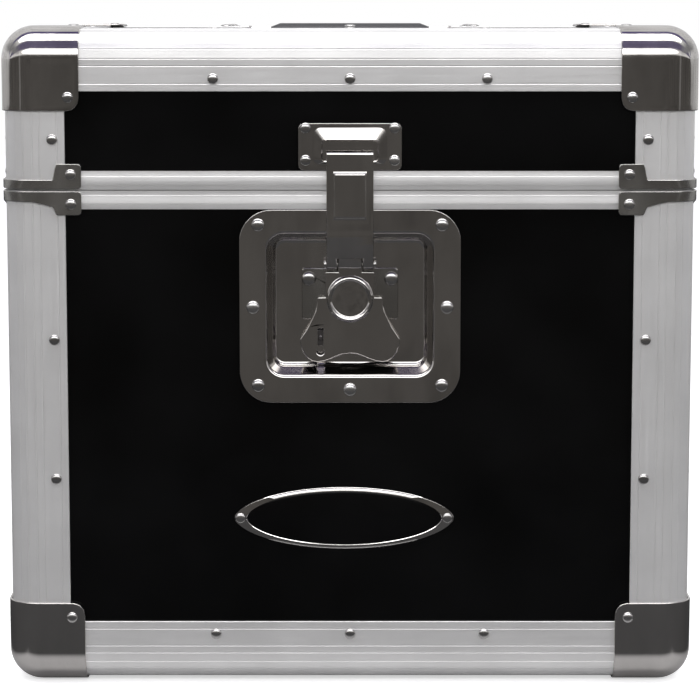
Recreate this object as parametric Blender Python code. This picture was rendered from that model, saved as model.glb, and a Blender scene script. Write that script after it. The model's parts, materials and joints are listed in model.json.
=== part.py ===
"""Record carrying case with a hinged lid, a recessed draw latch and a folding top handle.

Metres, +Z up.  The front faces -Y, and +X is to the right of someone who looks at it.
A depth counts inward from the outer faces of the edge extrusions.
"""
import math

import bmesh
import bpy
from mathutils import Vector

# Case, over the faces of the edge extrusions
CASE_WIDTH = 0.356
CASE_DEPTH = 0.310
CASE_HEIGHT = 0.340
LID_HEIGHT = 0.0824

# Fits
SEAT_GAP = 0.0003
CUT_OVERRUN = 0.002
PIN_CLEARANCE = 0.0003
SIDE_CLEARANCE = 0.0004

# Surfaces
SHARP_ANGLE = 30.0
FLAT_ANGLE = 0.5
MITRE_LIMIT_SHARE = 0.5

# Panels of laminated plywood
PANEL_THICKNESS = 0.009
PANEL_CORNER_RADIUS = 0.008
PANEL_CORNER_STEPS = 3

# Double edge extrusion: outer angle with a rounded nose, diagonal web, inner angle
EDGE_LEG = 0.032
EDGE_RADIUS = 0.015
EDGE_SKIN = 0.0015
EDGE_WEB = 0.0015
EDGE_INNER_LEG = 0.024
RIDGE_WIDTH = 0.0008
RIDGE_DEPTH = 0.0003
RIDGE_FROM_FREE_EDGE = (0.0039, 0.0129)
RIDGE_ANGLES = (17.0, 32.0)
NOSE_STEPS = 4

# Tongue and groove band on both sides of the parting line
BAND_HEIGHT = 0.0098
BAND_FLANGE = 0.0015
PARTING_GAP = 0.0004
BAND_SEAT = 0.0046
BAND_RIB_START = 0.0028
BAND_RIB_WIDTH = 0.0041
BAND_RIB_RISE = 0.0005
BAND_RIB_SLOPE = 0.0003
TONGUE_HEIGHT = 0.0026
TONGUE_ROOT_WIDTH = 0.0040
TONGUE_TIP_WIDTH = 0.0026
GROOVE_CLEARANCE = 0.0005
BAND_CORNER_STEPS = 4

# Pressed ball corners
BALL_LEG = 0.042
BALL_RADIUS = 0.024
BALL_THICKNESS = 0.0012
BALL_FREE_RADIUS = 0.0065
BALL_STEPS = 5

# Corner braces that wrap the posts beside the parting line
BRACE_REACH = 0.0404
BRACE_THICKNESS = 0.0012
BRACE_NEAR_EDGE = 0.0006
BRACE_TAB_WIDTH = 0.0138
BRACE_SWEEP = 0.0022
BRACE_TAB_RADIUS = 0.0018
LID_BRACE_TAB = 0.0134
LID_BRACE_BAND = 0.0053
BASE_BRACE_TAB = 0.0127
BASE_BRACE_BAND = 0.0060
BASE_BRACE_SHOULDER = 0.0086
TAB_ROUND_STEPS = 3
BRACE_BEND_STEPS = 5
BRACE_SWEEP_SHARES = (0.5, 0.17, -0.17, -0.5)

# Pressed plates let into a panel
PLATE_THICKNESS = 0.0012
PLATE_EDGE_ROUND = 0.0004
PLATE_RIM_ROUND = 0.0012
DISH_FLOOR_ROUND = 0.0016
DISH_HOLE_CLEARANCE = 0.0006
PLATE_CORNER_STEPS = 4

# Latch dish on the base; a drop counts down from the parting line and a rise counts up
LATCH_PLATE_WIDTH = 0.114
LATCH_PLATE_DROP = 0.1101
LATCH_PLATE_RADIUS = 0.0165
LATCH_DISH_WIDTH = 0.086
LATCH_DISH_DROP = 0.0958
LATCH_DISH_TOP_DROP = 0.0223
LATCH_DISH_RADIUS = 0.009
LATCH_DISH_DEPTH = 0.0130
LATCH_DISH_SLOPE = 0.004

# Catch plate on the lid
CATCH_WIDTH = 0.053
CATCH_RISE = 0.0342
CATCH_RADIUS = 0.003
CATCH_DISH_WIDTH = 0.0384
CATCH_DISH_RISE = 0.0136
CATCH_DISH_TOP_RISE = 0.0308
CATCH_DISH_RADIUS = 0.004
CATCH_DISH_DEPTH = 0.0058
CATCH_DISH_SLOPE = 0.003

# Latch pins: depths and drops
LEVER_PIN_DEPTH = 0.0045
LEVER_PIN_DROP = 0.0306
STRAP_PIN_DEPTH = 0.0055
STRAP_PIN_DROP = 0.0386
LATCH_PIN_RADIUS = 0.0011
LATCH_KNUCKLE_WALL = 0.0010
PIN_SIDES = 16
LUG_STEPS = 8

# Lever bracket riveted to the floor of the dish
BRACKET_WIDTH = 0.050
BRACKET_DROP = 0.0679
BRACKET_TOP_DROP = 0.0410
BRACKET_THICKNESS = 0.0012
BRACKET_CORNER = 0.0015
EAR_THICKNESS = 0.0014
EAR_ROOT_DEPTH = 0.0022
EAR_FOOT = 0.0100

# Lever
LEVER_THICKNESS = 0.0014
LEVER_FACE_DEPTH = 0.0070
LEVER_NECK_WIDTH = 0.0252
LEVER_SHOULDER_WIDTH = 0.0334
LEVER_SHOULDER_DROP = 0.0560
LEVER_FLARE_WIDTH = 0.0518
LEVER_FLARE_DROP = 0.0778
LEVER_LOBE_DROP = 0.0898
LEVER_LOBE_SPACING = 0.0340
LEVER_WAVE_DROP = 0.0851
LEVER_KNUCKLE_WIDTH = 0.0124
LEVER_STEPS = 5
BOSS_DROP = 0.0568
BOSS_RING_RADIUS = 0.0118
BOSS_DISC_RADIUS = 0.0096
BOSS_RING_RISE = 0.0014
BOSS_DISC_RISE = 0.0004
BOSS_DOME_RISE = 0.0003
BOSS_SIDES = 32
BOSS_RING_STEPS = 6
BOSS_DOME_SHARES = ((0.72, 0.7), (0.36, 1.0))
KEY_PLACE = -0.0153
KEY_SLOT_WIDTH = 0.003
KEY_SLOT_DROP = 0.0703
KEY_HOLE_DROP = 0.0841
KEY_HOLE_RADIUS = 0.002
KEY_HOLE_STEPS = 10

# Lock cam behind the key slot
CAM_RADIUS = 0.0042
CAM_THICKNESS = 0.0014
CAM_TONGUE_REACH = 0.0095
CAM_TONGUE_WIDTH = 0.0040
CAM_SPINDLE_RADIUS = 0.0011
CAM_SIDES = 20

# Strap that draws the lid down
STRAP_WIDTH = 0.0242
STRAP_THICKNESS = 0.0012
STRAP_STANDOFF = 0.0006
STRAP_RISE = 0.0197
STRAP_STEP_DROP = 0.0231
STRAP_JOG_TOP_DROP = 0.0264
STRAP_JOG_DROP = 0.0314
STRAP_JOG_DEPTH = 0.0002
STRAP_LIP_DEPTH = 0.0000
STRAP_PANEL_WIDTH = 0.0170
STRAP_PANEL_DROP = 0.0147
STRAP_PANEL_TOP_RISE = 0.0091
STRAP_PANEL_RISE = 0.0008
STRAP_PANEL_BEVEL = 0.0008
STRAP_NOTCH_RADIUS = 0.0053
STRAP_FOLD_CLEARANCE = 0.0017
STRAP_ROLL_START = 204.0
STRAP_ROLL_END = 470.0
ROLL_STEPS = 14

# Rear hinges
HINGE_INSET = 0.088
HINGE_WIDTH = 0.050
HINGE_LEAF = 0.0416
HINGE_THICKNESS = 0.0014
HINGE_PIN_RADIUS = 0.0016
HINGE_CAP = 0.0008
HINGE_JOG_START = 0.0115
HINGE_JOG_END = 0.0095
HINGE_ROLL_END = 300.0

# Folding handle let into the top of the lid
HANDLE_PLATE_WIDTH = 0.148
HANDLE_PLATE_DEPTH = 0.096
HANDLE_PLATE_RADIUS = 0.010
HANDLE_DISH_WIDTH = 0.124
HANDLE_DISH_LENGTH = 0.076
HANDLE_DISH_RADIUS = 0.010
HANDLE_DISH_DEPTH = 0.0115
HANDLE_DISH_SLOPE = 0.0025
HANDLE_PIVOT_PLACE = 0.0250
HANDLE_GRIP_PLACE = -0.0200
HANDLE_ARM_SPACING = 0.102
HANDLE_STUB_LENGTH = 0.0036
HANDLE_ELBOW_RADIUS = 0.004
HANDLE_ROD_RADIUS = 0.0035
HANDLE_ROD_SIDES = 12
HANDLE_BEND_RADIUS = 0.006
HANDLE_BEND_STEPS = 4
HANDLE_GRIP_RADIUS = 0.0068
HANDLE_GRIP_LENGTH = 0.0884
HANDLE_GRIP_SLOPE = 0.0052
HANDLE_GRIP_END_RADIUS = 0.0048
HANDLE_GRIP_LIFT = 0.0005
HANDLE_GRIP_SIDES = 16
HANDLE_LUG_THICKNESS = 0.0016
HANDLE_LUG_WALL = 0.0014

# Places that follow from the sizes above
HALF_WIDTH = CASE_WIDTH / 2
HALF_DEPTH = CASE_DEPTH / 2
PARTING_HEIGHT = CASE_HEIGHT - LID_HEIGHT
LATCH_PLATE_BOTTOM = PARTING_HEIGHT - LATCH_PLATE_DROP
LATCH_DISH_BOTTOM = PARTING_HEIGHT - LATCH_DISH_DROP
LATCH_DISH_TOP = PARTING_HEIGHT - LATCH_DISH_TOP_DROP
CATCH_TOP = PARTING_HEIGHT + CATCH_RISE
CATCH_DISH_BOTTOM = PARTING_HEIGHT + CATCH_DISH_RISE
CATCH_DISH_TOP = PARTING_HEIGHT + CATCH_DISH_TOP_RISE
LEVER_PIN_HEIGHT = PARTING_HEIGHT - LEVER_PIN_DROP
STRAP_PIN_HEIGHT = PARTING_HEIGHT - STRAP_PIN_DROP
BRACKET_BOTTOM = PARTING_HEIGHT - BRACKET_DROP
BRACKET_TOP = PARTING_HEIGHT - BRACKET_TOP_DROP
LEVER_SHOULDER_HEIGHT = PARTING_HEIGHT - LEVER_SHOULDER_DROP
LEVER_FLARE_HEIGHT = PARTING_HEIGHT - LEVER_FLARE_DROP
LEVER_LOBE_HEIGHT = PARTING_HEIGHT - LEVER_LOBE_DROP
LEVER_WAVE_HEIGHT = PARTING_HEIGHT - LEVER_WAVE_DROP
BOSS_HEIGHT = PARTING_HEIGHT - BOSS_DROP
KEY_SLOT_TOP = PARTING_HEIGHT - KEY_SLOT_DROP
KEY_HOLE_HEIGHT = PARTING_HEIGHT - KEY_HOLE_DROP
CAM_HEIGHT = (KEY_SLOT_TOP + KEY_HOLE_HEIGHT) / 2
STRAP_TOP = PARTING_HEIGHT + STRAP_RISE
STRAP_STEP_HEIGHT = PARTING_HEIGHT - STRAP_STEP_DROP
STRAP_JOG_TOP = PARTING_HEIGHT - STRAP_JOG_TOP_DROP
STRAP_JOG_BOTTOM = PARTING_HEIGHT - STRAP_JOG_DROP
STRAP_PANEL_BOTTOM = PARTING_HEIGHT - STRAP_PANEL_DROP
STRAP_PANEL_TOP = PARTING_HEIGHT + STRAP_PANEL_TOP_RISE
PANEL_FACE = EDGE_SKIN + SEAT_GAP
PANEL_BACK = PANEL_FACE + PANEL_THICKNESS
INNER_FACE = PANEL_BACK + SEAT_GAP
BAY_FACE = INNER_FACE + EDGE_SKIN
CORNER_CUT = EDGE_LEG + SIDE_CLEARANCE
BALL_PROUD = SEAT_GAP + BALL_THICKNESS
BRACE_PROUD = SEAT_GAP + BRACE_THICKNESS
POST_END = BAND_SEAT + SEAT_GAP
PLATE_BACK = PANEL_FACE - SEAT_GAP
PLATE_FACE = PLATE_BACK - PLATE_THICKNESS
HINGE_ROLL_RADIUS = HINGE_PIN_RADIUS + PIN_CLEARANCE + HINGE_THICKNESS / 2
HINGE_KNUCKLE_RADIUS = HINGE_ROLL_RADIUS + HINGE_THICKNESS / 2
HINGE_AXIS_DEPTH = -SEAT_GAP - HINGE_KNUCKLE_RADIUS
LATCH_BORE_RADIUS = LATCH_PIN_RADIUS + PIN_CLEARANCE
LATCH_KNUCKLE_RADIUS = LATCH_BORE_RADIUS + LATCH_KNUCKLE_WALL
STRAP_ROLL_RADIUS = LATCH_BORE_RADIUS + STRAP_THICKNESS / 2
LEVER_BACK_DEPTH = LEVER_FACE_DEPTH + LEVER_THICKNESS
LEVER_TOP = STRAP_PIN_HEIGHT - STRAP_ROLL_RADIUS - STRAP_THICKNESS / 2 - STRAP_FOLD_CLEARANCE
DISH_FLOOR = PLATE_FACE + LATCH_DISH_DEPTH
BRACKET_BACK = DISH_FLOOR - SEAT_GAP
BRACKET_FACE = BRACKET_BACK - BRACKET_THICKNESS
HANDLE_FLOOR = PLATE_FACE + HANDLE_DISH_DEPTH
HANDLE_AXIS_DEPTH = HANDLE_FLOOR - HANDLE_GRIP_LIFT - HANDLE_GRIP_RADIUS
REAR_REACH = HINGE_KNUCKLE_RADIUS - HINGE_AXIS_DEPTH
FRONT_REACH = STRAP_STANDOFF + STRAP_THICKNESS + STRAP_PANEL_RISE

# Joint axes, in the frame of the case, and the offset that centres the whole on the origin
PIVOTS = {
    "case": Vector((0, (FRONT_REACH - REAR_REACH) / 2, BALL_PROUD)),
    "lid": Vector((0, HALF_DEPTH - HINGE_AXIS_DEPTH, PARTING_HEIGHT)),
    "lever": Vector((0, LEVER_PIN_DEPTH - HALF_DEPTH, LEVER_PIN_HEIGHT)),
    "strap": Vector((0, STRAP_PIN_DEPTH - HALF_DEPTH, STRAP_PIN_HEIGHT)),
    "cam": Vector((KEY_PLACE, LEVER_BACK_DEPTH - HALF_DEPTH, CAM_HEIGHT)),
    "handle": Vector((0, HANDLE_PIVOT_PLACE, CASE_HEIGHT - HANDLE_AXIS_DEPTH)),
}
PARENTS = {"lid": "case", "lever": "case", "strap": "lever", "cam": "lever", "handle": "lid"}

FINISHES = {
    "aluminium": ((0.60, 0.60, 0.61), 0.34, 1.0),
    "laminate": ((0.006, 0.006, 0.007), 0.22, 0.0),
    "chrome": ((0.62, 0.60, 0.58), 0.12, 1.0),
    "steel": ((0.50, 0.49, 0.47), 0.24, 1.0),
    "rubber": ((0.030, 0.030, 0.032), 0.55, 0.0),
}


def clear_scene():
    """Take away whatever the file opened with."""
    for item in list(bpy.data.objects):
        bpy.data.objects.remove(item)


def make_axes():
    """Empties on the joint axes, each under the body that carries it."""
    axes = {}
    for name, place in PIVOTS.items():
        axis = bpy.data.objects.new(name + "_axis", None)
        bpy.context.scene.collection.objects.link(axis)
        parent = PARENTS.get(name)
        axis.location = place
        if parent:
            axis.parent = axes[parent]
        if parent in PARENTS:
            axis.location = place - PIVOTS[parent]
        axes[name] = axis
    return axes


def make_finish(name, finish):
    """Principled material for one sub-part."""
    colour, roughness, metallic = FINISHES[finish]
    material = bpy.data.materials.new(name + "_" + finish)
    material.use_nodes = True
    shader = material.node_tree.nodes["Principled BSDF"]
    shader.inputs["Base Color"].default_value = (*colour, 1)
    shader.inputs["Roughness"].default_value = roughness
    shader.inputs["Metallic"].default_value = metallic
    material.diffuse_color = (*colour, 1)
    return material


def add_part(name, mesh, finish, axis, body):
    """Named object whose mesh is written in the frame of the case."""
    mesh.materials.clear()
    mesh.materials.append(make_finish(name, finish))
    mesh.shade_smooth()
    mesh.set_sharp_from_angle(angle=math.radians(SHARP_ANGLE))
    part = bpy.data.objects.new(name, mesh)
    bpy.context.scene.collection.objects.link(part)
    part.parent = axis[body]
    if body in PARENTS:
        part.location = -PIVOTS[body]
    return part


def to_mesh(work):
    """Mesh of a finished bmesh, with its faces pointing out."""
    bmesh.ops.recalc_face_normals(work, faces=work.faces)
    if work.calc_volume(signed=True) < 0:
        bmesh.ops.reverse_faces(work, faces=work.faces)
    mesh = bpy.data.meshes.new("shape")
    work.to_mesh(mesh)
    work.free()
    return mesh


def join_loops(work, loops, closed):
    """Quads between neighbouring loops of vertices, with capped ends or closed to a ring."""
    rings = [[work.verts.new(point) for point in loop] for loop in loops]
    pairs = list(zip(rings, rings[1:]))
    if closed:
        pairs.append((rings[-1], rings[0]))
    for first, second in pairs:
        count = len(first)
        for index in range(count):
            after = (index + 1) % count
            work.faces.new((first[index], first[after], second[after], second[index]))
    if not closed:
        work.faces.new(rings[0])
        work.faces.new(rings[-1])


def loft(loops, closed=False):
    """Solid through loops that all have the same number of points."""
    work = bmesh.new()
    join_loops(work, loops, closed)
    return to_mesh(work)


def prism(outline, start, end, place):
    """Outline of (u, v) points swept from start to end by place(u, v, t)."""
    return loft([[place(u, v, t) for u, v in outline] for t in (start, end)])


def combine(target, tool, operation):
    """Mesh left by an exact Boolean of two meshes, which it uses up."""
    scene = bpy.context.scene.collection.objects
    body = bpy.data.objects.new("body", target)
    cutter = bpy.data.objects.new("cutter", tool)
    scene.link(body)
    scene.link(cutter)
    step = body.modifiers.new("step", "BOOLEAN")
    step.operation = operation
    step.solver = "EXACT"
    step.object = cutter
    graph = bpy.context.evaluated_depsgraph_get()
    result = bpy.data.meshes.new_from_object(body.evaluated_get(graph))
    bpy.data.objects.remove(body)
    bpy.data.objects.remove(cutter)
    bpy.data.meshes.remove(target)
    bpy.data.meshes.remove(tool)
    return result


def arc(centre_u, centre_v, radius, start, end, steps):
    """Points of an arc, its angles in degrees."""
    points = []
    for index in range(steps + 1):
        angle = math.radians(start + (end - start) * index / steps)
        points.append((centre_u + radius * math.cos(angle), centre_v + radius * math.sin(angle)))
    return points


def circle(centre_u, centre_v, radius, sides):
    """Points of a closed circle."""
    return arc(centre_u, centre_v, radius, 0, 360 * (sides - 1) / sides, sides - 1)


def rectangle(left, right, bottom, top):
    """Four corners of an upright rectangle."""
    return [(left, bottom), (right, bottom), (right, top), (left, top)]


def rounded_rectangle(left, right, bottom, top, radius, steps):
    """Rectangle with round corners."""
    points = arc(right - radius, top - radius, radius, 0, 90, steps)
    points += arc(left + radius, top - radius, radius, 90, 180, steps)
    points += arc(left + radius, bottom + radius, radius, 180, 270, steps)
    points += arc(right - radius, bottom + radius, radius, 270, 360, steps)
    return points


def ribbon(points, thickness):
    """Outline of a bent sheet that follows the points with the given thickness."""
    sides = ([], [])
    for index, point in enumerate(points):
        before = Vector(points[max(index - 1, 0)])
        after = Vector(points[min(index + 1, len(points) - 1)])
        here = Vector(point)
        along_in = (here - before).normalized()
        along_out = (after - here).normalized()
        along = (along_in + along_out).normalized()
        stretch = 1 / max(along.dot(along_out if index == 0 else along_in), MITRE_LIMIT_SHARE)
        across = Vector((-along.y, along.x)) * (thickness / 2 * stretch)
        sides[0].append(tuple(here + across))
        sides[1].append(tuple(here - across))
    return sides[0] + sides[1][::-1]


def front_section(depth, height, t):
    """Section through the front of the case, swept along X."""
    return (t, depth - HALF_DEPTH, height)


def rear_section(depth, height, t):
    """Section through the rear of the case, swept along X."""
    return (t, HALF_DEPTH - depth, height)


def front_face(x, z, depth):
    """Point on the front, at a depth under the faces of the extrusions."""
    return (x, depth - HALF_DEPTH, z)


def rear_face(x, z, depth):
    """Point on the rear."""
    return (x, HALF_DEPTH - depth, z)


def left_face(y, z, depth):
    """Point on the left side."""
    return (depth - HALF_WIDTH, y, z)


def right_face(y, z, depth):
    """Point on the right side."""
    return (HALF_WIDTH - depth, y, z)


def bottom_face(x, y, depth):
    """Point on the underside."""
    return (x, y, depth)


def top_face(x, y, depth):
    """Point on the top."""
    return (x, y, CASE_HEIGHT - depth)


def corner_point(side, end, upper, u, v, w):
    """Point counted inward from one corner of the case along X, Y and Z."""
    height = CASE_HEIGHT - w if upper else w
    return (side * (HALF_WIDTH - u), end * (HALF_DEPTH - v), height)


def panel_outline(half, low, high, round_low, round_high):
    """Panel outline whose corners are rounded where they come under the ball corners."""
    points = []
    for round_off, level, turn in ((round_low, low, 1), (round_high, high, -1)):
        row = [(half, level)]
        if round_off:
            radius = PANEL_CORNER_RADIUS
            row = arc(half - radius, level + turn * radius, radius, -90 * turn, 0, PANEL_CORNER_STEPS)
        mirrored = [(-u, v) for u, v in row[::-1]]
        points += mirrored + row if turn > 0 else row[::-1] + mirrored[::-1]
    return points


def add_panel(name, outline, place, axis, body, hole=None):
    """Panel in its slot between the two angles of the extrusions."""
    mesh = prism(outline, PANEL_FACE, PANEL_BACK, place)
    if hole:
        mesh = combine(mesh, hole, "DIFFERENCE")
    add_part(name, mesh, "laminate", axis, body)


def on_nose(sink, angle):
    """Point of the rounded nose, at an angle in degrees from the end of the flat."""
    radius = EDGE_RADIUS - sink
    turn = math.radians(angle)
    return (EDGE_RADIUS - radius * math.sin(turn), EDGE_RADIUS - radius * math.cos(turn))


def half_nose(leg):
    """Outer half of the extrusion's section, from its free edge to the middle of the nose."""
    half = RIDGE_WIDTH / 2
    half_angle = math.degrees(half / EDGE_RADIUS)
    points = [(leg, 0)]
    places = [leg - distance for distance in RIDGE_FROM_FREE_EDGE]
    places.append(EDGE_RADIUS + half)
    for place in places:
        points += [(place + half, 0), (place, RIDGE_DEPTH), (place - half, 0)]
    for angle in RIDGE_ANGLES:
        points += [on_nose(0, angle - half_angle), on_nose(RIDGE_DEPTH, angle),
                   on_nose(0, angle + half_angle)]
    points.append(on_nose(0, 45))
    return points


def edge_section():
    """Section of the double edge extrusion, counted inward from the corner of the case."""
    outer = half_nose(EDGE_LEG)
    outer += [(v, u) for u, v in outer[-2::-1]]
    spread = EDGE_WEB / math.sqrt(2)
    inner_radius = EDGE_RADIUS - EDGE_SKIN
    turn = math.degrees(math.asin(spread / (math.sqrt(2) * inner_radius)))
    half = arc(EDGE_RADIUS, EDGE_RADIUS, inner_radius, 180, 225 - turn, NOSE_STEPS)
    half = [(EDGE_SKIN, EDGE_LEG)] + half
    half.append((INNER_FACE, INNER_FACE + spread))
    half.append((INNER_FACE, EDGE_INNER_LEG))
    half.append((BAY_FACE, EDGE_INNER_LEG))
    inner = half + [(BAY_FACE, BAY_FACE)] + [(v, u) for u, v in half[::-1]]
    return outer + inner


def add_edges(axis):
    """Posts and rails: the same extrusion along the twelve edges, cut short at the corners."""
    section = edge_section()
    sides = (("left", -1), ("right", 1))
    ends = (("front", -1), ("rear", 1))
    bodies = (
        ("base", "case", False, CORNER_CUT, PARTING_HEIGHT - POST_END),
        ("lid", "lid", True, CORNER_CUT, CASE_HEIGHT - PARTING_HEIGHT - POST_END),
    )
    for label, body, upper, start, finish in bodies:
        for end_name, end in ends:
            for side_name, side in sides:
                def upright(u, v, t, side=side, end=end, upper=upper):
                    return corner_point(side, end, upper, u, v, t)
                name = f"{label}_post_{end_name}_{side_name}"
                add_part(name, prism(section, start, finish, upright), "aluminium", axis, body)

            def crosswise(u, v, t, end=end, upper=upper):
                return corner_point(1, end, upper, t, u, v)
            mesh = prism(section, CORNER_CUT, CASE_WIDTH - CORNER_CUT, crosswise)
            add_part(f"{label}_rail_{end_name}", mesh, "aluminium", axis, body)
        for side_name, side in sides:
            def lengthwise(u, v, t, side=side, upper=upper):
                return corner_point(side, 1, upper, u, t, v)
            mesh = prism(section, CORNER_CUT, CASE_DEPTH - CORNER_CUT, lengthwise)
            add_part(f"{label}_rail_{side_name}", mesh, "aluminium", axis, body)


def band_section(upright, groove):
    """Section of the band in depth and height, for the base (upright 1) or the lid (-1)."""
    near = PARTING_GAP / 2
    middle = (PANEL_FACE + PANEL_BACK) / 2
    rib_end = BAND_RIB_START + BAND_RIB_WIDTH
    root = TONGUE_ROOT_WIDTH / 2
    tip = TONGUE_TIP_WIDTH / 2
    rise = -TONGUE_HEIGHT
    if groove:
        root += GROOVE_CLEARANCE
        tip += GROOVE_CLEARANCE
        rise = TONGUE_HEIGHT + GROOVE_CLEARANCE
    points = [
        (BAND_RIB_RISE, BAND_HEIGHT),
        (BAND_RIB_RISE, rib_end + BAND_RIB_SLOPE),
        (0, rib_end),
        (0, BAND_RIB_START),
        (BAND_RIB_RISE, BAND_RIB_START - BAND_RIB_SLOPE),
        (BAND_RIB_RISE, near),
        (middle - root, near),
        (middle - tip, rise),
        (middle + tip, rise),
        (middle + root, near),
        (BAY_FACE, near),
        (BAY_FACE, BAND_HEIGHT),
        (INNER_FACE, BAND_HEIGHT),
        (INNER_FACE, BAND_SEAT),
        (BAND_FLANGE, BAND_SEAT),
        (BAND_FLANGE, BAND_HEIGHT),
    ]
    return [(depth, PARTING_HEIGHT - upright * drop) for depth, drop in points]


def band_mesh(upright, groove):
    """Band that runs round the case, with its flanges cut away where the posts stand."""
    section = band_section(upright, groove)
    loops = []
    for side, end, start in ((1, 1, 0), (-1, 1, 90), (-1, -1, 180), (1, -1, 270)):
        centre_x = side * (HALF_WIDTH - EDGE_RADIUS)
        centre_y = end * (HALF_DEPTH - EDGE_RADIUS)
        for index in range(BAND_CORNER_STEPS + 1):
            angle = math.radians(start + 90 * index / BAND_CORNER_STEPS)
            loop = []
            for depth, height in section:
                radius = EDGE_RADIUS - depth
                x = centre_x + radius * math.cos(angle)
                y = centre_y + radius * math.sin(angle)
                loop.append((x, y, height))
            loops.append(loop)
    mesh = loft(loops, closed=True)
    near = PARTING_HEIGHT - upright * BAND_SEAT
    far = PARTING_HEIGHT - upright * (BAND_HEIGHT + CUT_OVERRUN)
    for side in (-1, 1):
        for end in (-1, 1):
            outline = rectangle(-CUT_OVERRUN, CORNER_CUT, -CUT_OVERRUN, CORNER_CUT)

            def upright_cut(u, v, t, side=side, end=end):
                return (side * (HALF_WIDTH - u), end * (HALF_DEPTH - v), t)
            mesh = combine(mesh, prism(outline, near, far, upright_cut), "DIFFERENCE")
    return mesh


def ball_block(inset, reach):
    """Convex corner block: a ball in the corner that runs out into rounded edges."""
    low = inset - BALL_PROUD
    centre = BALL_RADIUS - BALL_PROUD
    ball = BALL_RADIUS - inset
    edge = EDGE_RADIUS - low
    points = []
    for index in range(BALL_STEPS + 1):
        rise = math.radians(90 * index / BALL_STEPS)
        for turn_index in range(BALL_STEPS + 1):
            turn = math.radians(90 * turn_index / BALL_STEPS)
            u = centre - ball * math.cos(rise) * math.cos(turn)
            v = centre - ball * math.cos(rise) * math.sin(turn)
            w = centre - ball * math.sin(rise)
            points.append((u, v, w))
    for station in (EDGE_LEG, reach):
        for u, v in arc(EDGE_RADIUS, EDGE_RADIUS, edge, 180, 270, BALL_STEPS):
            points += [(u, v, station), (station, u, v), (v, station, u)]
    points += [(reach, reach, low), (reach, low, reach), (low, reach, reach), (reach, reach, reach)]
    work = bmesh.new()
    for point in points:
        work.verts.new(point)
    bmesh.ops.remove_doubles(work, verts=work.verts, dist=SEAT_GAP / 10)
    hull = bmesh.ops.convex_hull(work, input=work.verts)
    loose = [item for item in hull["geom_interior"] if isinstance(item, bmesh.types.BMVert)]
    bmesh.ops.delete(work, geom=loose, context="VERTS")
    bmesh.ops.dissolve_limit(work, angle_limit=math.radians(FLAT_ANGLE), verts=work.verts,
                             edges=work.edges)
    return to_mesh(work)


def ball_shell():
    """Pressed corner, counted inward from the corner of the case."""
    mesh = combine(ball_block(0, BALL_LEG), ball_block(BALL_THICKNESS, BALL_LEG + CUT_OVERRUN),
                   "DIFFERENCE")
    start = BALL_LEG - BALL_FREE_RADIUS
    far = BALL_LEG + CUT_OVERRUN
    outline = arc(start, start, BALL_FREE_RADIUS, 0, 90, BALL_STEPS)
    outline += [(start, far), (far, far), (far, start)]
    above = -BALL_PROUD - CUT_OVERRUN
    turns = (
        lambda u, v, t: (u, v, t),
        lambda u, v, t: (t, u, v),
        lambda u, v, t: (v, t, u),
    )
    for turn in turns:
        mesh = combine(mesh, prism(outline, above, CUT_OVERRUN, turn), "DIFFERENCE")
    return mesh


def add_ball_corners(axis):
    """The pressed corner, mirrored to all eight corners of the case."""
    shell = ball_shell()
    for label, body, upper in (("base", "case", False), ("lid", "lid", True)):
        for end_name, end in (("front", -1), ("rear", 1)):
            for side_name, side in (("left", -1), ("right", 1)):
                work = bmesh.new()
                work.from_mesh(shell)
                for vertex in work.verts:
                    vertex.co = corner_point(side, end, upper, *vertex.co)
                name = f"{label}_ball_corner_{end_name}_{side_name}"
                add_part(name, to_mesh(work), "chrome", axis, body)
    bpy.data.meshes.remove(shell)


def smooth_step(value):
    """Even S-curve from 0 to 1."""
    value = min(max(value, 0), 1)
    return value * value * (3 - 2 * value)


def brace_heights(distance, tab, shoulder, band):
    """Near and far height of the brace, at a distance from the corner of the case."""
    tab_start = BRACE_REACH - BRACE_TAB_WIDTH
    blend = smooth_step((distance - tab_start + BRACE_SWEEP / 2) / BRACE_SWEEP)
    slope = smooth_step((distance - EDGE_RADIUS) / (tab_start - EDGE_RADIUS))
    low = band + (shoulder - band) * slope
    far = low + (tab - low) * blend
    near = BRACE_NEAR_EDGE
    past = distance - (BRACE_REACH - BRACE_TAB_RADIUS)
    if past > 0:
        drop = BRACE_TAB_RADIUS - math.sqrt(max(BRACE_TAB_RADIUS ** 2 - past ** 2, 0))
        far -= drop
        near += drop
    return near, far


def brace_mesh(side, end, upright, tab, shoulder, band):
    """Sheet steel that wraps a post, with a tab on both faces of the case."""
    tab_start = BRACE_REACH - BRACE_TAB_WIDTH
    straight = []
    for index in range(TAB_ROUND_STEPS + 1):
        angle = math.radians(90 * (1 - index / TAB_ROUND_STEPS))
        straight.append(BRACE_REACH - BRACE_TAB_RADIUS * (1 - math.sin(angle)))
    for share in BRACE_SWEEP_SHARES:
        straight.append(tab_start + BRACE_SWEEP * share)
    straight.append((tab_start + EDGE_RADIUS) / 2)
    loops = []

    def loop_at(distance, place):
        near, far = brace_heights(distance, tab, shoulder, band)
        loop = []
        for lift, height in ((SEAT_GAP, near), (SEAT_GAP, far), (BRACE_PROUD, far), (BRACE_PROUD, near)):
            u, v = place(lift)
            x, y, _ = corner_point(side, end, False, u, v, 0)
            loop.append((x, y, PARTING_HEIGHT - upright * height))
        return loop

    for distance in straight:
        loops.append(loop_at(distance, lambda lift, d=distance: (d, -lift)))
    for index in range(BRACE_BEND_STEPS + 1):
        angle = math.radians(90 * index / BRACE_BEND_STEPS)

        def bend(lift, angle=angle):
            radius = EDGE_RADIUS + lift
            return (EDGE_RADIUS - radius * math.sin(angle), EDGE_RADIUS - radius * math.cos(angle))
        loops.append(loop_at(EDGE_RADIUS, bend))
    for distance in straight[::-1]:
        loops.append(loop_at(distance, lambda lift, d=distance: (-lift, d)))
    return loft(loops)


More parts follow.
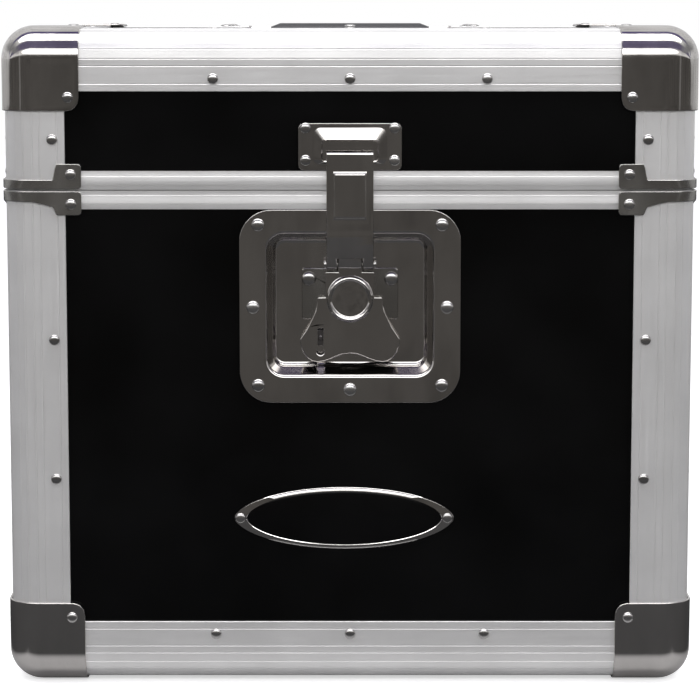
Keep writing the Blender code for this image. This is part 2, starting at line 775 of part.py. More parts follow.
def add_braces(axis):
    """Braces beside the parting line, on the base and on the lid."""
    rows = (
        ("base", "case", 1, BASE_BRACE_TAB, BASE_BRACE_SHOULDER, BASE_BRACE_BAND),
        ("lid", "lid", -1, LID_BRACE_TAB, LID_BRACE_BAND, LID_BRACE_BAND),
    )
    for label, body, upright, tab, shoulder, band in rows:
        for end_name, end in (("front", -1), ("rear", 1)):
            for side_name, side in (("left", -1), ("right", 1)):
                mesh = brace_mesh(side, end, upright, tab, shoulder, band)
                add_part(f"{label}_brace_{end_name}_{side_name}", mesh, "steel", axis, body)


def dished_plate(plate, dish, depth, slope, place):
    """Pressed plate with a dish; plate and dish are (left, right, bottom, top, radius)."""
    def loop(frame, grow, at):
        left, right, bottom, top, radius = frame
        points = rounded_rectangle(left - grow, right + grow, bottom - grow, top + grow,
                                   radius + grow, PLATE_CORNER_STEPS)
        return [place(u, v, at) for u, v in points]

    floor = PLATE_FACE + depth
    round_off = DISH_FLOOR_ROUND
    back_floor = floor + PLATE_THICKNESS
    return loft([
        loop(dish, -slope - round_off, floor),
        loop(dish, -slope, floor - round_off / 2),
        loop(dish, -PLATE_RIM_ROUND / 4, PLATE_FACE + PLATE_RIM_ROUND),
        loop(dish, PLATE_RIM_ROUND / 2, PLATE_FACE),
        loop(plate, -PLATE_EDGE_ROUND, PLATE_FACE),
        loop(plate, 0, PLATE_FACE + PLATE_EDGE_ROUND),
        loop(plate, 0, PLATE_BACK),
        loop(dish, PLATE_THICKNESS, PLATE_BACK),
        loop(dish, PLATE_THICKNESS - slope, back_floor - round_off),
        loop(dish, -slope - round_off / 2, back_floor),
    ])


def dish_hole(dish, place):
    """Cutter for the opening that a dish needs in its panel."""
    grow = PLATE_THICKNESS + DISH_HOLE_CLEARANCE
    left, right, bottom, top, radius = dish
    outline = rounded_rectangle(left - grow, right + grow, bottom - grow, top + grow,
                                radius + grow, PLATE_CORNER_STEPS)
    return prism(outline, -CUT_OVERRUN, PANEL_BACK + CUT_OVERRUN, place)


LATCH_PLATE = (
    -LATCH_PLATE_WIDTH / 2, LATCH_PLATE_WIDTH / 2,
    LATCH_PLATE_BOTTOM, PARTING_HEIGHT - BAND_HEIGHT - SEAT_GAP, LATCH_PLATE_RADIUS,
)
LATCH_DISH = (
    -LATCH_DISH_WIDTH / 2, LATCH_DISH_WIDTH / 2,
    LATCH_DISH_BOTTOM, LATCH_DISH_TOP, LATCH_DISH_RADIUS,
)
CATCH_PLATE = (
    -CATCH_WIDTH / 2, CATCH_WIDTH / 2,
    PARTING_HEIGHT + BAND_HEIGHT + SEAT_GAP, CATCH_TOP, CATCH_RADIUS,
)
CATCH_DISH = (
    -CATCH_DISH_WIDTH / 2, CATCH_DISH_WIDTH / 2,
    CATCH_DISH_BOTTOM, CATCH_DISH_TOP, CATCH_DISH_RADIUS,
)
HANDLE_PLATE = (
    -HANDLE_PLATE_WIDTH / 2, HANDLE_PLATE_WIDTH / 2,
    -HANDLE_PLATE_DEPTH / 2, HANDLE_PLATE_DEPTH / 2, HANDLE_PLATE_RADIUS,
)
HANDLE_DISH = (
    -HANDLE_DISH_WIDTH / 2, HANDLE_DISH_WIDTH / 2,
    -HANDLE_DISH_LENGTH / 2, HANDLE_DISH_LENGTH / 2, HANDLE_DISH_RADIUS,
)


def add_panels(axis):
    """Five panels of the base and five of the lid, slotted into the extrusions."""
    across = HALF_WIDTH - EDGE_RADIUS
    along = HALF_DEPTH - EDGE_RADIUS
    rows = (
        ("base", "case", EDGE_RADIUS, PARTING_HEIGHT - POST_END, False, LATCH_DISH),
        ("lid", "lid", PARTING_HEIGHT + POST_END, CASE_HEIGHT - EDGE_RADIUS, True, CATCH_DISH),
    )
    for label, body, low, high, upper, dish in rows:
        wide = panel_outline(across, low, high, not upper, upper)
        deep = panel_outline(along, low, high, not upper, upper)
        name = label + "_panel_"
        add_panel(name + "front", wide, front_face, axis, body, dish_hole(dish, front_face))
        add_panel(name + "rear", wide, rear_face, axis, body)
        add_panel(name + "left", deep, left_face, axis, body)
        add_panel(name + "right", deep, right_face, axis, body)
    level = panel_outline(across, -along, along, True, True)
    add_panel("base_panel_bottom", level, bottom_face, axis, "case")
    hole = dish_hole(HANDLE_DISH, top_face)
    add_panel("lid_panel_top", level, top_face, axis, "lid", hole)


def add_dish_and_catch(axis):
    """Pressed plates of the latch: the dish on the base and the catch on the lid."""
    mesh = dished_plate(LATCH_PLATE, LATCH_DISH, LATCH_DISH_DEPTH, LATCH_DISH_SLOPE, front_face)
    add_part("latch_dish", mesh, "chrome", axis, "case")
    mesh = dished_plate(CATCH_PLATE, CATCH_DISH, CATCH_DISH_DEPTH, CATCH_DISH_SLOPE, front_face)
    add_part("latch_catch", mesh, "chrome", axis, "lid")


def ear_outline():
    """Side view of a bracket ear: it stands on the plate and reaches out to the lever pin."""
    radius = LATCH_KNUCKLE_RADIUS
    root = BRACKET_BACK - EAR_ROOT_DEPTH
    points = arc(LEVER_PIN_DEPTH, LEVER_PIN_HEIGHT, radius, 270, 90, LUG_STEPS)
    points += [
        (BRACKET_BACK, LEVER_PIN_HEIGHT + radius),
        (BRACKET_BACK, BRACKET_TOP - EAR_FOOT),
        (root, BRACKET_TOP - EAR_FOOT),
        (root, LEVER_PIN_HEIGHT - radius - EAR_THICKNESS),
        (root - EAR_THICKNESS, LEVER_PIN_HEIGHT - radius),
    ]
    return points


def add_bracket(axis):
    """Plate with two ears that carry the lever's pivot pin."""
    half = BRACKET_WIDTH / 2
    outline = rounded_rectangle(-half, half, BRACKET_BOTTOM, BRACKET_TOP, BRACKET_CORNER, 2)
    mesh = prism(outline, BRACKET_FACE, BRACKET_BACK, front_face)
    start = LEVER_KNUCKLE_WIDTH / 2 + SIDE_CLEARANCE
    for side in (-1, 1):
        ear = prism(ear_outline(), side * start, side * (start + EAR_THICKNESS), front_section)
        mesh = combine(mesh, ear, "UNION")
    reach = start + EAR_THICKNESS + CUT_OVERRUN
    bore = prism(circle(LEVER_PIN_DEPTH, LEVER_PIN_HEIGHT, LATCH_BORE_RADIUS, PIN_SIDES),
                 -reach, reach, front_section)
    mesh = combine(mesh, bore, "DIFFERENCE")
    add_part("latch_bracket", mesh, "steel", axis, "case")


def pin_mesh(depth, height, half_length, head):
    """Pin along X with a flat head at both ends."""
    head_radius = LATCH_PIN_RADIUS + head
    loops = []
    for x, radius in ((-half_length - head, head_radius), (-half_length, head_radius),
                      (-half_length, LATCH_PIN_RADIUS), (half_length, LATCH_PIN_RADIUS),
                      (half_length, head_radius), (half_length + head, head_radius)):
        loops.append([front_section(u, v, x) for u, v in circle(depth, height, radius, PIN_SIDES)])
    return loft(loops)


def add_latch_pins(axis):
    """Pivot pin of the lever and pin of the strap."""
    ear_end = LEVER_KNUCKLE_WIDTH / 2 + SIDE_CLEARANCE + EAR_THICKNESS + SEAT_GAP
    head = LATCH_KNUCKLE_WALL
    mesh = pin_mesh(LEVER_PIN_DEPTH, LEVER_PIN_HEIGHT, ear_end, head)
    add_part("latch_pivot_pin", mesh, "steel", axis, "case")
    mesh = pin_mesh(STRAP_PIN_DEPTH, STRAP_PIN_HEIGHT, STRAP_WIDTH / 2 + SEAT_GAP, head)
    add_part("latch_strap_pin", mesh, "steel", axis, "lever")


def lever_outline():
    """Outline of the lever in X and height: neck, shoulders, flared lobes and a wavy edge."""
    lobe = LEVER_LOBE_SPACING / 2
    flare = LEVER_FLARE_WIDTH / 2
    shoulder = LEVER_SHOULDER_WIDTH / 2
    neck = LEVER_NECK_WIDTH / 2
    half = []
    for index in range(LEVER_STEPS):
        share = index / LEVER_STEPS
        wave = (1 - math.cos(math.pi * share)) / 2
        drop = (LEVER_WAVE_HEIGHT - LEVER_LOBE_HEIGHT) * wave
        half.append((lobe * share, LEVER_WAVE_HEIGHT - drop))
    for index in range(LEVER_STEPS + 1):
        angle = math.radians(90 * index / LEVER_STEPS)
        x = lobe + (flare - lobe) * math.sin(angle)
        z = LEVER_FLARE_HEIGHT - (LEVER_FLARE_HEIGHT - LEVER_LOBE_HEIGHT) * math.cos(angle)
        half.append((x, z))
    for index in range(1, LEVER_STEPS + 1):
        share = index / LEVER_STEPS
        x = flare - (flare - shoulder) * math.sin(math.pi / 2 * share)
        z = LEVER_FLARE_HEIGHT + (LEVER_SHOULDER_HEIGHT - LEVER_FLARE_HEIGHT) * share
        half.append((x, z))
    half.append((neck, LEVER_SHOULDER_HEIGHT))
    half.append((neck, LEVER_TOP))
    return half + [(-x, z) for x, z in half[:0:-1]]


def boss_mesh():
    """Half-round ring and nearly flat disc in the middle of the lever."""
    face = LEVER_FACE_DEPTH
    disc = face - BOSS_DISC_RISE
    middle = (BOSS_RING_RADIUS + BOSS_DISC_RADIUS) / 2
    half = (BOSS_RING_RADIUS - BOSS_DISC_RADIUS) / 2
    rows = [(BOSS_RING_RADIUS, face + LEVER_THICKNESS / 2), (BOSS_RING_RADIUS, face)]
    for index in range(1, BOSS_RING_STEPS):
        angle = math.pi * index / BOSS_RING_STEPS
        rise = BOSS_RING_RISE * math.sin(angle)
        rows.append((middle + half * math.cos(angle), face - rise))
    rows.append((BOSS_DISC_RADIUS, disc))
    for radius_share, rise_share in BOSS_DOME_SHARES:
        rows.append((BOSS_DISC_RADIUS * radius_share, disc - BOSS_DOME_RISE * rise_share))
    loops = []
    for radius, depth in rows:
        points = circle(0, BOSS_HEIGHT, radius, BOSS_SIDES)
        loops.append([front_face(x, z, depth) for x, z in points])
    return loft(loops)


def key_slot():
    """Cutter of the key slot: an upright slot that ends in a round hole."""
    half = KEY_SLOT_WIDTH / 2
    turn = math.degrees(math.asin(half / KEY_HOLE_RADIUS))
    outline = arc(KEY_PLACE, KEY_HOLE_HEIGHT, KEY_HOLE_RADIUS, 90 + turn, 450 - turn, KEY_HOLE_STEPS)
    outline += [(KEY_PLACE + half, KEY_SLOT_TOP), (KEY_PLACE - half, KEY_SLOT_TOP)]
    return prism(outline, LEVER_FACE_DEPTH - CUT_OVERRUN, LEVER_BACK_DEPTH + CUT_OVERRUN, front_face)


def lever_neck():
    """Middle knuckle of the lever round its pivot pin and the strap pin."""
    tilt = math.degrees(math.atan2(STRAP_PIN_DEPTH - LEVER_PIN_DEPTH,
                                   LEVER_PIN_HEIGHT - STRAP_PIN_HEIGHT))
    radius = LATCH_KNUCKLE_RADIUS
    outline = arc(LEVER_PIN_DEPTH, LEVER_PIN_HEIGHT, radius, tilt, 180 + tilt, PIN_SIDES // 2)
    outline += arc(STRAP_PIN_DEPTH, STRAP_PIN_HEIGHT, radius, 180 + tilt, 360 + tilt, PIN_SIDES // 2)
    half = LEVER_KNUCKLE_WIDTH / 2
    neck = prism(outline, -half, half, front_section)
    web = rectangle(LEVER_FACE_DEPTH, LEVER_BACK_DEPTH, LEVER_TOP - LEVER_THICKNESS, STRAP_PIN_HEIGHT)
    return combine(neck, prism(web, -half, half, front_section), "UNION")


def add_lever(axis):
    """Stamped lever with its boss, key slot and middle knuckle."""
    mesh = prism(lever_outline(), LEVER_FACE_DEPTH, LEVER_BACK_DEPTH, front_face)
    mesh = combine(mesh, boss_mesh(), "UNION")
    mesh = combine(mesh, key_slot(), "DIFFERENCE")
    mesh = combine(mesh, lever_neck(), "UNION")
    reach = LEVER_KNUCKLE_WIDTH / 2 + CUT_OVERRUN
    for depth, height in ((LEVER_PIN_DEPTH, LEVER_PIN_HEIGHT), (STRAP_PIN_DEPTH, STRAP_PIN_HEIGHT)):
        bore = prism(circle(depth, height, LATCH_BORE_RADIUS, PIN_SIDES), -reach, reach, front_section)
        mesh = combine(mesh, bore, "DIFFERENCE")
    add_part("latch_lever", mesh, "chrome", axis, "lever")


def add_lock_cam(axis):
    """Cam behind the key slot, with a tongue and the spindle that the key turns."""
    face = LEVER_BACK_DEPTH + SEAT_GAP
    back = face + CAM_THICKNESS
    half = CAM_TONGUE_WIDTH / 2
    turn = math.degrees(math.asin(half / CAM_RADIUS))
    outline = arc(KEY_PLACE, CAM_HEIGHT, CAM_RADIUS, turn, 360 - turn, CAM_SIDES)
    outline += [
        (KEY_PLACE + CAM_TONGUE_REACH, CAM_HEIGHT - half),
        (KEY_PLACE + CAM_TONGUE_REACH, CAM_HEIGHT + half),
    ]
    mesh = prism(outline, face, back, front_face)
    spindle = prism(circle(KEY_PLACE, CAM_HEIGHT, CAM_SPINDLE_RADIUS, PIN_SIDES),
                    LEVER_FACE_DEPTH + SEAT_GAP, (face + back) / 2, front_face)
    mesh = combine(mesh, spindle, "UNION")
    add_part("latch_lock_cam", mesh, "steel", axis, "cam")


def strap_path():
    """Middle line of the strap in depth and height, from its lip down round the strap pin."""
    leaf = -STRAP_STANDOFF - STRAP_THICKNESS / 2
    lip = STRAP_LIP_DEPTH - STRAP_THICKNESS / 4
    points = [
        (lip, STRAP_TOP - STRAP_THICKNESS / 2),
        (leaf + STRAP_THICKNESS / 3, STRAP_TOP - STRAP_THICKNESS / 2),
        (leaf, STRAP_TOP - STRAP_THICKNESS),
        (leaf, STRAP_STEP_HEIGHT),
        (STRAP_JOG_DEPTH, STRAP_JOG_TOP),
        (STRAP_JOG_DEPTH, STRAP_JOG_BOTTOM),
    ]
    points += arc(STRAP_PIN_DEPTH, STRAP_PIN_HEIGHT, STRAP_ROLL_RADIUS,
                  STRAP_ROLL_START, STRAP_ROLL_END, ROLL_STEPS)
    return points


def add_strap(axis):
    """Strap with a raised panel, a lip at the top and a roll with a notch for the lever."""
    half = STRAP_WIDTH / 2
    mesh = prism(ribbon(strap_path(), STRAP_THICKNESS), -half, half, front_section)
    notch = LEVER_KNUCKLE_WIDTH / 2 + SIDE_CLEARANCE
    cutter = prism(circle(STRAP_PIN_DEPTH, STRAP_PIN_HEIGHT, STRAP_NOTCH_RADIUS, PIN_SIDES),
                   -notch, notch, front_section)
    mesh = combine(mesh, cutter, "DIFFERENCE")
    face = -STRAP_STANDOFF - STRAP_THICKNESS
    panel_half = STRAP_PANEL_WIDTH / 2
    loops = []
    for grow, depth in ((0, face + STRAP_THICKNESS / 2), (0, face),
                        (-STRAP_PANEL_BEVEL, face - STRAP_PANEL_RISE)):
        outline = rectangle(-panel_half - grow, panel_half + grow,
                            STRAP_PANEL_BOTTOM - grow, STRAP_PANEL_TOP + grow)
        loops.append([front_face(x, z, depth) for x, z in outline])
    mesh = combine(mesh, loft(loops), "UNION")
    add_part("latch_strap", mesh, "chrome", axis, "strap")


def hinge_path(upright):
    """Middle line of a hinge leaf in depth and height, from its free edge round the pin."""
    rail = HINGE_AXIS_DEPTH + HINGE_ROLL_RADIUS
    sunk = PANEL_FACE - SEAT_GAP - HINGE_THICKNESS / 2
    points = [(sunk, -HINGE_LEAF), (sunk, -HINGE_JOG_START - HINGE_THICKNESS),
              (rail, -HINGE_JOG_END - HINGE_THICKNESS)]
    points += arc(HINGE_AXIS_DEPTH, 0, HINGE_ROLL_RADIUS, 0, HINGE_ROLL_END, ROLL_STEPS)
    return [(depth, PARTING_HEIGHT + upright * height) for depth, height in points]


def hinge_leaf(centre, upright, cut_spans):
    """Leaf less the spans where the other leaf has its knuckles."""
    half = HINGE_WIDTH / 2
    mesh = prism(ribbon(hinge_path(upright), HINGE_THICKNESS), centre - half, centre + half,
                 rear_section)
    clear = HINGE_KNUCKLE_RADIUS + SIDE_CLEARANCE
    for start, end in cut_spans:
        cutter = prism(circle(HINGE_AXIS_DEPTH, PARTING_HEIGHT, clear, PIN_SIDES),
                       centre + start, centre + end, rear_section)
        mesh = combine(mesh, cutter, "DIFFERENCE")
    return mesh


def add_hinges(axis):
    """Two butt hinges on the rear, each pin pressed into the base leaf."""
    half = HINGE_WIDTH / 2
    middle = HINGE_WIDTH / 6
    slack = SIDE_CLEARANCE / 2
    outer_spans = ((-half - CUT_OVERRUN, -middle + slack), (middle - slack, half + CUT_OVERRUN))
    middle_span = ((-middle - slack, middle + slack),)
    for side_name, side in (("left", -1), ("right", 1)):
        centre = side * (HALF_WIDTH - HINGE_INSET)
        base = hinge_leaf(centre, 1, middle_span)
        loops = []
        for x, radius in (
                (-half - HINGE_CAP, HINGE_ROLL_RADIUS), (-half + HINGE_CAP, HINGE_ROLL_RADIUS),
                (-half + HINGE_CAP, HINGE_PIN_RADIUS), (half - HINGE_CAP, HINGE_PIN_RADIUS),
                (half - HINGE_CAP, HINGE_ROLL_RADIUS), (half + HINGE_CAP, HINGE_ROLL_RADIUS)):
            points = circle(HINGE_AXIS_DEPTH, PARTING_HEIGHT, radius, PIN_SIDES)
            loops.append([rear_section(u, v, centre + x) for u, v in points])
        base = combine(base, loft(loops), "UNION")
        add_part(f"hinge_base_leaf_{side_name}", base, "steel", axis, "case")
        lid = hinge_leaf(centre, -1, outer_spans)
        add_part(f"hinge_lid_leaf_{side_name}", lid, "steel", axis, "lid")


def bail_path():
    """Middle line of the handle's rod, from one pivot stub to the other, in X and Y."""
    arm = HANDLE_ARM_SPACING / 2
    radius = HANDLE_BEND_RADIUS
    elbow = HANDLE_ELBOW_RADIUS
    half = [(arm + elbow + HANDLE_STUB_LENGTH, HANDLE_PIVOT_PLACE)]
    half += arc(arm + elbow, HANDLE_PIVOT_PLACE - elbow, elbow, 90, 180, HANDLE_BEND_STEPS)
    half += arc(arm - radius, HANDLE_GRIP_PLACE + radius, radius, 0, -90, HANDLE_BEND_STEPS)
    return half + [(-x, y) for x, y in half[::-1]]


def add_handle(axis):
    """Dish with its lugs, and the bail with its grip."""
    mesh = dished_plate(HANDLE_PLATE, HANDLE_DISH, HANDLE_DISH_DEPTH, HANDLE_DISH_SLOPE, top_face)
    bore = HANDLE_ROD_RADIUS + PIN_CLEARANCE
    lug_outer = bore + HANDLE_LUG_WALL
    stub_end = HANDLE_ARM_SPACING / 2 + HANDLE_ELBOW_RADIUS + HANDLE_STUB_LENGTH
    lug_far = stub_end - HANDLE_LUG_THICKNESS / 4
    lug_near = lug_far - HANDLE_LUG_THICKNESS
    axis_height = CASE_HEIGHT - HANDLE_AXIS_DEPTH
    foot = CASE_HEIGHT - HANDLE_FLOOR - PLATE_THICKNESS / 2

    def across(u, v, t):
        return (t, u, v)
    for side in (-1, 1):
        outline = arc(HANDLE_PIVOT_PLACE, axis_height, lug_outer, 0, 180, LUG_STEPS)
        outline += [(HANDLE_PIVOT_PLACE - lug_outer, foot), (HANDLE_PIVOT_PLACE + lug_outer, foot)]
        mesh = combine(mesh, prism(outline, side * lug_near, side * lug_far, across), "UNION")
        cutter = prism(circle(HANDLE_PIVOT_PLACE, axis_height, bore, PIN_SIDES),
                       side * (lug_near - SIDE_CLEARANCE), side * (lug_far + SIDE_CLEARANCE), across)
        mesh = combine(mesh, cutter, "DIFFERENCE")
    add_part("handle_dish", mesh, "chrome", axis, "lid")
    path = bail_path()
    loops = []
    for index, point in enumerate(path):
        here = Vector(point)
        before = Vector(path[max(index - 1, 0)])
        after = Vector(path[min(index + 1, len(path) - 1)])
        along = (after - before).normalized()
        sideways = Vector((-along.y, along.x))
        loop = []
        for reach, rise in circle(0, 0, HANDLE_ROD_RADIUS, HANDLE_ROD_SIDES):
            flat = here + sideways * reach
            loop.append((flat.x, flat.y, axis_height + rise))
        loops.append(loop)
    add_part("handle_bail", loft(loops), "chrome", axis, "handle")
    half = HANDLE_GRIP_LENGTH / 2
    inside = HANDLE_ROD_RADIUS + SEAT_GAP
    loops = []
    for x, radius in ((-half, inside), (-half, HANDLE_GRIP_END_RADIUS),
                      (-half + HANDLE_GRIP_SLOPE, HANDLE_GRIP_RADIUS),
                      (half - HANDLE_GRIP_SLOPE, HANDLE_GRIP_RADIUS),
                      (half, HANDLE_GRIP_END_RADIUS), (half, inside)):
        points = circle(HANDLE_GRIP_PLACE, axis_height, radius, HANDLE_GRIP_SIDES)
        loops.append([across(u, v, x) for u, v in points])
    add_part("handle_grip", loft(loops, closed=True), "rubber", axis, "handle")


def main():
    """Build the whole case."""
    clear_scene()
    axis = make_axes()
    add_panels(axis)
    add_edges(axis)
    add_part("base_band", band_mesh(1, False), "aluminium", axis, "case")
    add_part("lid_band", band_mesh(-1, True), "aluminium", axis, "lid")
    add_ball_corners(axis)
    add_braces(axis)
    add_dish_and_catch(axis)
    add_bracket(axis)
    add_latch_pins(axis)
    add_lever(axis)
    add_lock_cam(axis)
    add_strap(axis)
    add_hinges(axis)
    add_handle(axis)


main()
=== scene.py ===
"""Looks of the record carrying case: finishes, rivets, the bare oval plate, studio and camera."""
import json
import math

import bmesh
import bpy
from mathutils import Matrix, Vector

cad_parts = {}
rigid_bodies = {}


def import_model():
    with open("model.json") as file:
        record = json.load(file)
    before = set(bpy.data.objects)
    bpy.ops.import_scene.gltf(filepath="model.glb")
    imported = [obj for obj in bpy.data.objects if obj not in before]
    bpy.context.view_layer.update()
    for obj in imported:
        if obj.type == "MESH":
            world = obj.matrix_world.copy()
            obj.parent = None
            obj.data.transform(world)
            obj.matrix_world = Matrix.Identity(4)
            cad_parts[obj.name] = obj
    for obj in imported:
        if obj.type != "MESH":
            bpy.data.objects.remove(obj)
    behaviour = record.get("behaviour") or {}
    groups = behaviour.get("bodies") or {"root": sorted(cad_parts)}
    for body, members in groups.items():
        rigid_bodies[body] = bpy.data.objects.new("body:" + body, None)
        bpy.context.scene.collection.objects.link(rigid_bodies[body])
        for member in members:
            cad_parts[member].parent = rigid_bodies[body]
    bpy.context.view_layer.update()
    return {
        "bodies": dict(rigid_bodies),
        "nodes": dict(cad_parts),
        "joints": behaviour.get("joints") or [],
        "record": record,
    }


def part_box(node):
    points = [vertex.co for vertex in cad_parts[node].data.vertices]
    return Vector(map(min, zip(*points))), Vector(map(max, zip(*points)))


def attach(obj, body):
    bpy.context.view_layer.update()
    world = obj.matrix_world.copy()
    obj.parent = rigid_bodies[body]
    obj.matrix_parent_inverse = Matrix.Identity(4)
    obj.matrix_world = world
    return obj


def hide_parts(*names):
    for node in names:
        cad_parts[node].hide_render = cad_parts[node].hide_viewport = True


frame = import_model()
NODES = frame["nodes"]

# Faces of the case, read from the frame
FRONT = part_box("base_rail_front")[0].y
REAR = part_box("base_rail_rear")[1].y
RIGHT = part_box("base_rail_right")[1].x
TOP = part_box("lid_rail_front")[1].z
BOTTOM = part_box("base_rail_front")[0].z
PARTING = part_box("lid_band")[0].z
EDGE_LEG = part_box("base_rail_front")[1].z - BOTTOM
CASE_MIDDLE = (FRONT + REAR) / 2

# Heads of the rivets: radius, height
EDGE_RIVET = (0.0028, 0.0014)
LEVEL_RIVET = (0.0028, 0.0006)
PLATE_RIVET = (0.0034, 0.0019)
SMALL_RIVET = (0.0028, 0.0014)
BRACKET_RIVET = (0.0037, 0.0019)
RIVET_SIDES = 28
RIVET_RINGS = 8
RIVET_RIM_SHARE = 0.18
RIVET_SINK = 0.0002

# Pressed ball corners
CORNER_RADIUS = 0.0172
CORNER_REACH = (0.0412, 0.0412, 0.0435)
CORNER_FREE_RADIUS = 0.0065
CORNER_THICKNESS = 0.0012
CORNER_RIM_BEVEL = 0.0004
CORNER_STEPS = 8
CORNER_FLAT_STEPS = 8

# Pressed plates: half width, foot, top, corner radius and wall slope of the latch's dish,
# and half width, foot, top and corner radius of the catch's pad and well
LATCH_PLATE_RADIUS = 0.0165
LATCH_DISH = (0.043, 0.1618, 0.2353, 0.009, 0.004)
CATCH_PLATE_RADIUS = 0.003
CATCH_PAD = (0.0192, 0.2708, 0.2896, 0.004)
CATCH_WELL = (0.0146, 0.2722, 0.2832, 0.002)
CATCH_PAD_RISE = 0.0014
LEAST_RADIUS = 0.0008
PRESSED_SHEET = 0.0012
PRESSED_FOOT = 0.0022
PRESSED_RIM = 0.0018
PRESSED_STEPS = 12
BEND_STEPS = 6

# Rivets along the extrusions
RAIL_RIVET_STEP = 0.070
RIVET_FROM_FREE_EDGE = 0.0065
LID_POST_RIVET = 0.0565
BASE_POST_RIVETS = (0.1597, 0.2324)
LID_BALL_RIVET = (0.0340, 0.0350)
BASE_BALL_RIVET = (0.0329, 0.0345)
BRACE_RIVET_PLACE = 0.0350
LID_BRACE_RIVET = 0.0079
BASE_BRACE_RIVET = 0.0073

# Rivets of the latch, across and above the underside of the case
DISH_RIVETS = ((0.0473, 0.2398), (0.0500, 0.1972), (0.0474, 0.1566), (0.0, 0.1545))
CATCH_RIVETS = ((0.0228, 0.2894), (0.0228, 0.2729))
BRACKET_RIVETS = ((0.0214, 0.2110),)
BRACKET_STAND = 0.0015

# Rivets of the handle's plate and the hinges
HANDLE_RIVET = (0.0030, 0.0010)
HANDLE_RIVET_INSET = 0.0058
HINGE_RIVET_PLACE = 0.0170
HINGE_RIVET_INSET = 0.0075
HINGE_LEAF_STAND = 0.0017

# Floor, whose middle lies behind the case, and its glow to the camera
FLOOR_SIZE = 6
FLOOR_MIDDLE = 2.2
FLOOR_DROP = 0.0002
FLOOR_TONE = (0.82, 0.82, 0.82)
FLOOR_ROUGHNESS = 0.9
FLOOR_GLOW = 0.55

# Lamps: place, size and power
OVERHEAD = ((0, -0.33, 1.55), (2.6, 0.6), 20)
FRONT_FILL = ((0, -1.75, 1.12), (3.2, 0.6), 12)
SIDE_FILL = ((1.7, -0.9, 0.7), (0.8, 1.4))
SIDE_POWERS = (("left", -1, 5), ("right", 1, 9))
SIDE_STRIP = ((1.2, -1.1, 0.3), (0.12, 0.9), 0.05)
OVAL_LAMP_WIDTH = 2

# Floor as the metal mirrors it: near and far brightness, and where it fades
MIRRORED_FLOOR = (0.42, 0.06)
MIRRORED_FLOOR_FADE = (0.015, 0.055)

# Studio by angle in degrees, from the horizon ahead of the case over the top to behind it
DARK = (0.095, 0.090, 0.085)
MAUVE = (0.17, 0.15, 0.25)
VIOLET = (0.11, 0.09, 0.24)
MOTTLE = (26, 2)
MOTTLE_SHARES = (0.60, 1.40)

# Grey at the studio's sides, and where it sets in across and above the floor
SIDE_GREY = (0.32, 0.32, 0.33)
SIDE_FADE = (0.62, 0.92)
SIDE_RISE = (0.15, 0.35)

STUDIO_BANDS = (
    (-180, (0.60, 0.60, 0.60)), (-150, DARK), (13, DARK), (17, (1.0, 0.99, 0.98)),
    (33, (1.0, 0.99, 0.98)), (38, MAUVE), (65, MAUVE), (69, (1.0, 1.0, 1.0)),
    (94, (1.0, 1.0, 1.0)), (97, VIOLET), (106, VIOLET), (110, (0.86, 0.86, 0.87)),
    (180, (0.75, 0.75, 0.76)),
)

# Bevels that catch the light on the edges of sheet metal, by node
BEVELS = {
    "latch_lever": 0.0005, "latch_bracket": 0.0005, "latch_strap": 0.0005,
    "latch_lock_cam": 0.0002,
}
BRACE_BEVEL = 0.0003
EXTRUSION_BEVEL = 0.0003
EDGE_ANGLE = 32
STEEP_ANGLE = 60

# Ridges of the band round the parting line
RIDGE_STEP = 0.0118
RIDGE_TURN = -0.57
RIDGE_RISE = 0.0002

# Noise: the values that carry a change of roughness and a change of colour
NOISE_SPAN = (0.3, 0.7)
COLOUR_SPAN = (0.35, 0.65)

# Finishes: colour, roughness and share of metal, and what noise of a scale and detail makes of them
ALUMINIUM = ((0.74, 0.74, 0.75), 0.42, 0.72)
ALUMINIUM_TONES = ((0.72, 0.715, 0.71), (0.78, 0.775, 0.77))
ALUMINIUM_ROUGHNESS = (0.36, 0.48)
ALUMINIUM_HAZE = (26, 4)
DRAWN_LINES = (2600, 3)
DRAWN_STRETCH = 0.01
DRAWN_BUMP = (0.03, 0.0001)
LAMINATE = ((0.0020, 0.0020, 0.0021), 0.16, 0.0)
LAMINATE_TONES = ((0.0012, 0.0012, 0.0012), (0.0026, 0.0026, 0.0027))
LAMINATE_ROUGHNESS = (0.10, 0.20)
LAMINATE_SPECULAR = 0.16
LAMINATE_HAZE = (14, 5)
LAMINATE_PEEL = (420, 2)
PEEL_BUMP = (0.05, 0.0002)
GRIP = ((0.030, 0.030, 0.032), 0.5, 0.0)
GRIP_TONES = ((0.024, 0.024, 0.026), (0.040, 0.040, 0.043))
GRIP_ROUGHNESS = (0.42, 0.62)
GRIP_GRAIN = (1800, 2)
GRIP_BUMP = (0.35, 0.0003)

# Plated steels: colour, lowest and highest roughness, and strength of their waves
BRIGHT = ((0.62, 0.60, 0.58), 0.06, 0.14, 0.10)
SATIN = ((0.52, 0.51, 0.49), 0.16, 0.28, 0.08)
ZINC = ((0.58, 0.57, 0.56), 0.17, 0.27, 0.04)
# The lock's steel is far darker than the other plating: painted shade that stands in for the dark keyhole
# slot round the cam.
LOCK_STEEL_PAINTED_SHADE = ((0.20, 0.19, 0.19), 0.20, 0.34, 0.06)
SMEAR = (60, 5)
SMEAR_STRETCH = (1.0, 1.0, 0.35)
SMEAR_SHADE = 0.86
WAVES = (38, 2)
WAVE_DISTANCE = 0.001

# Distances within which points of a mesh are one
WELD_DISTANCE = 0.000002
JOIN_DISTANCE = 0.00001

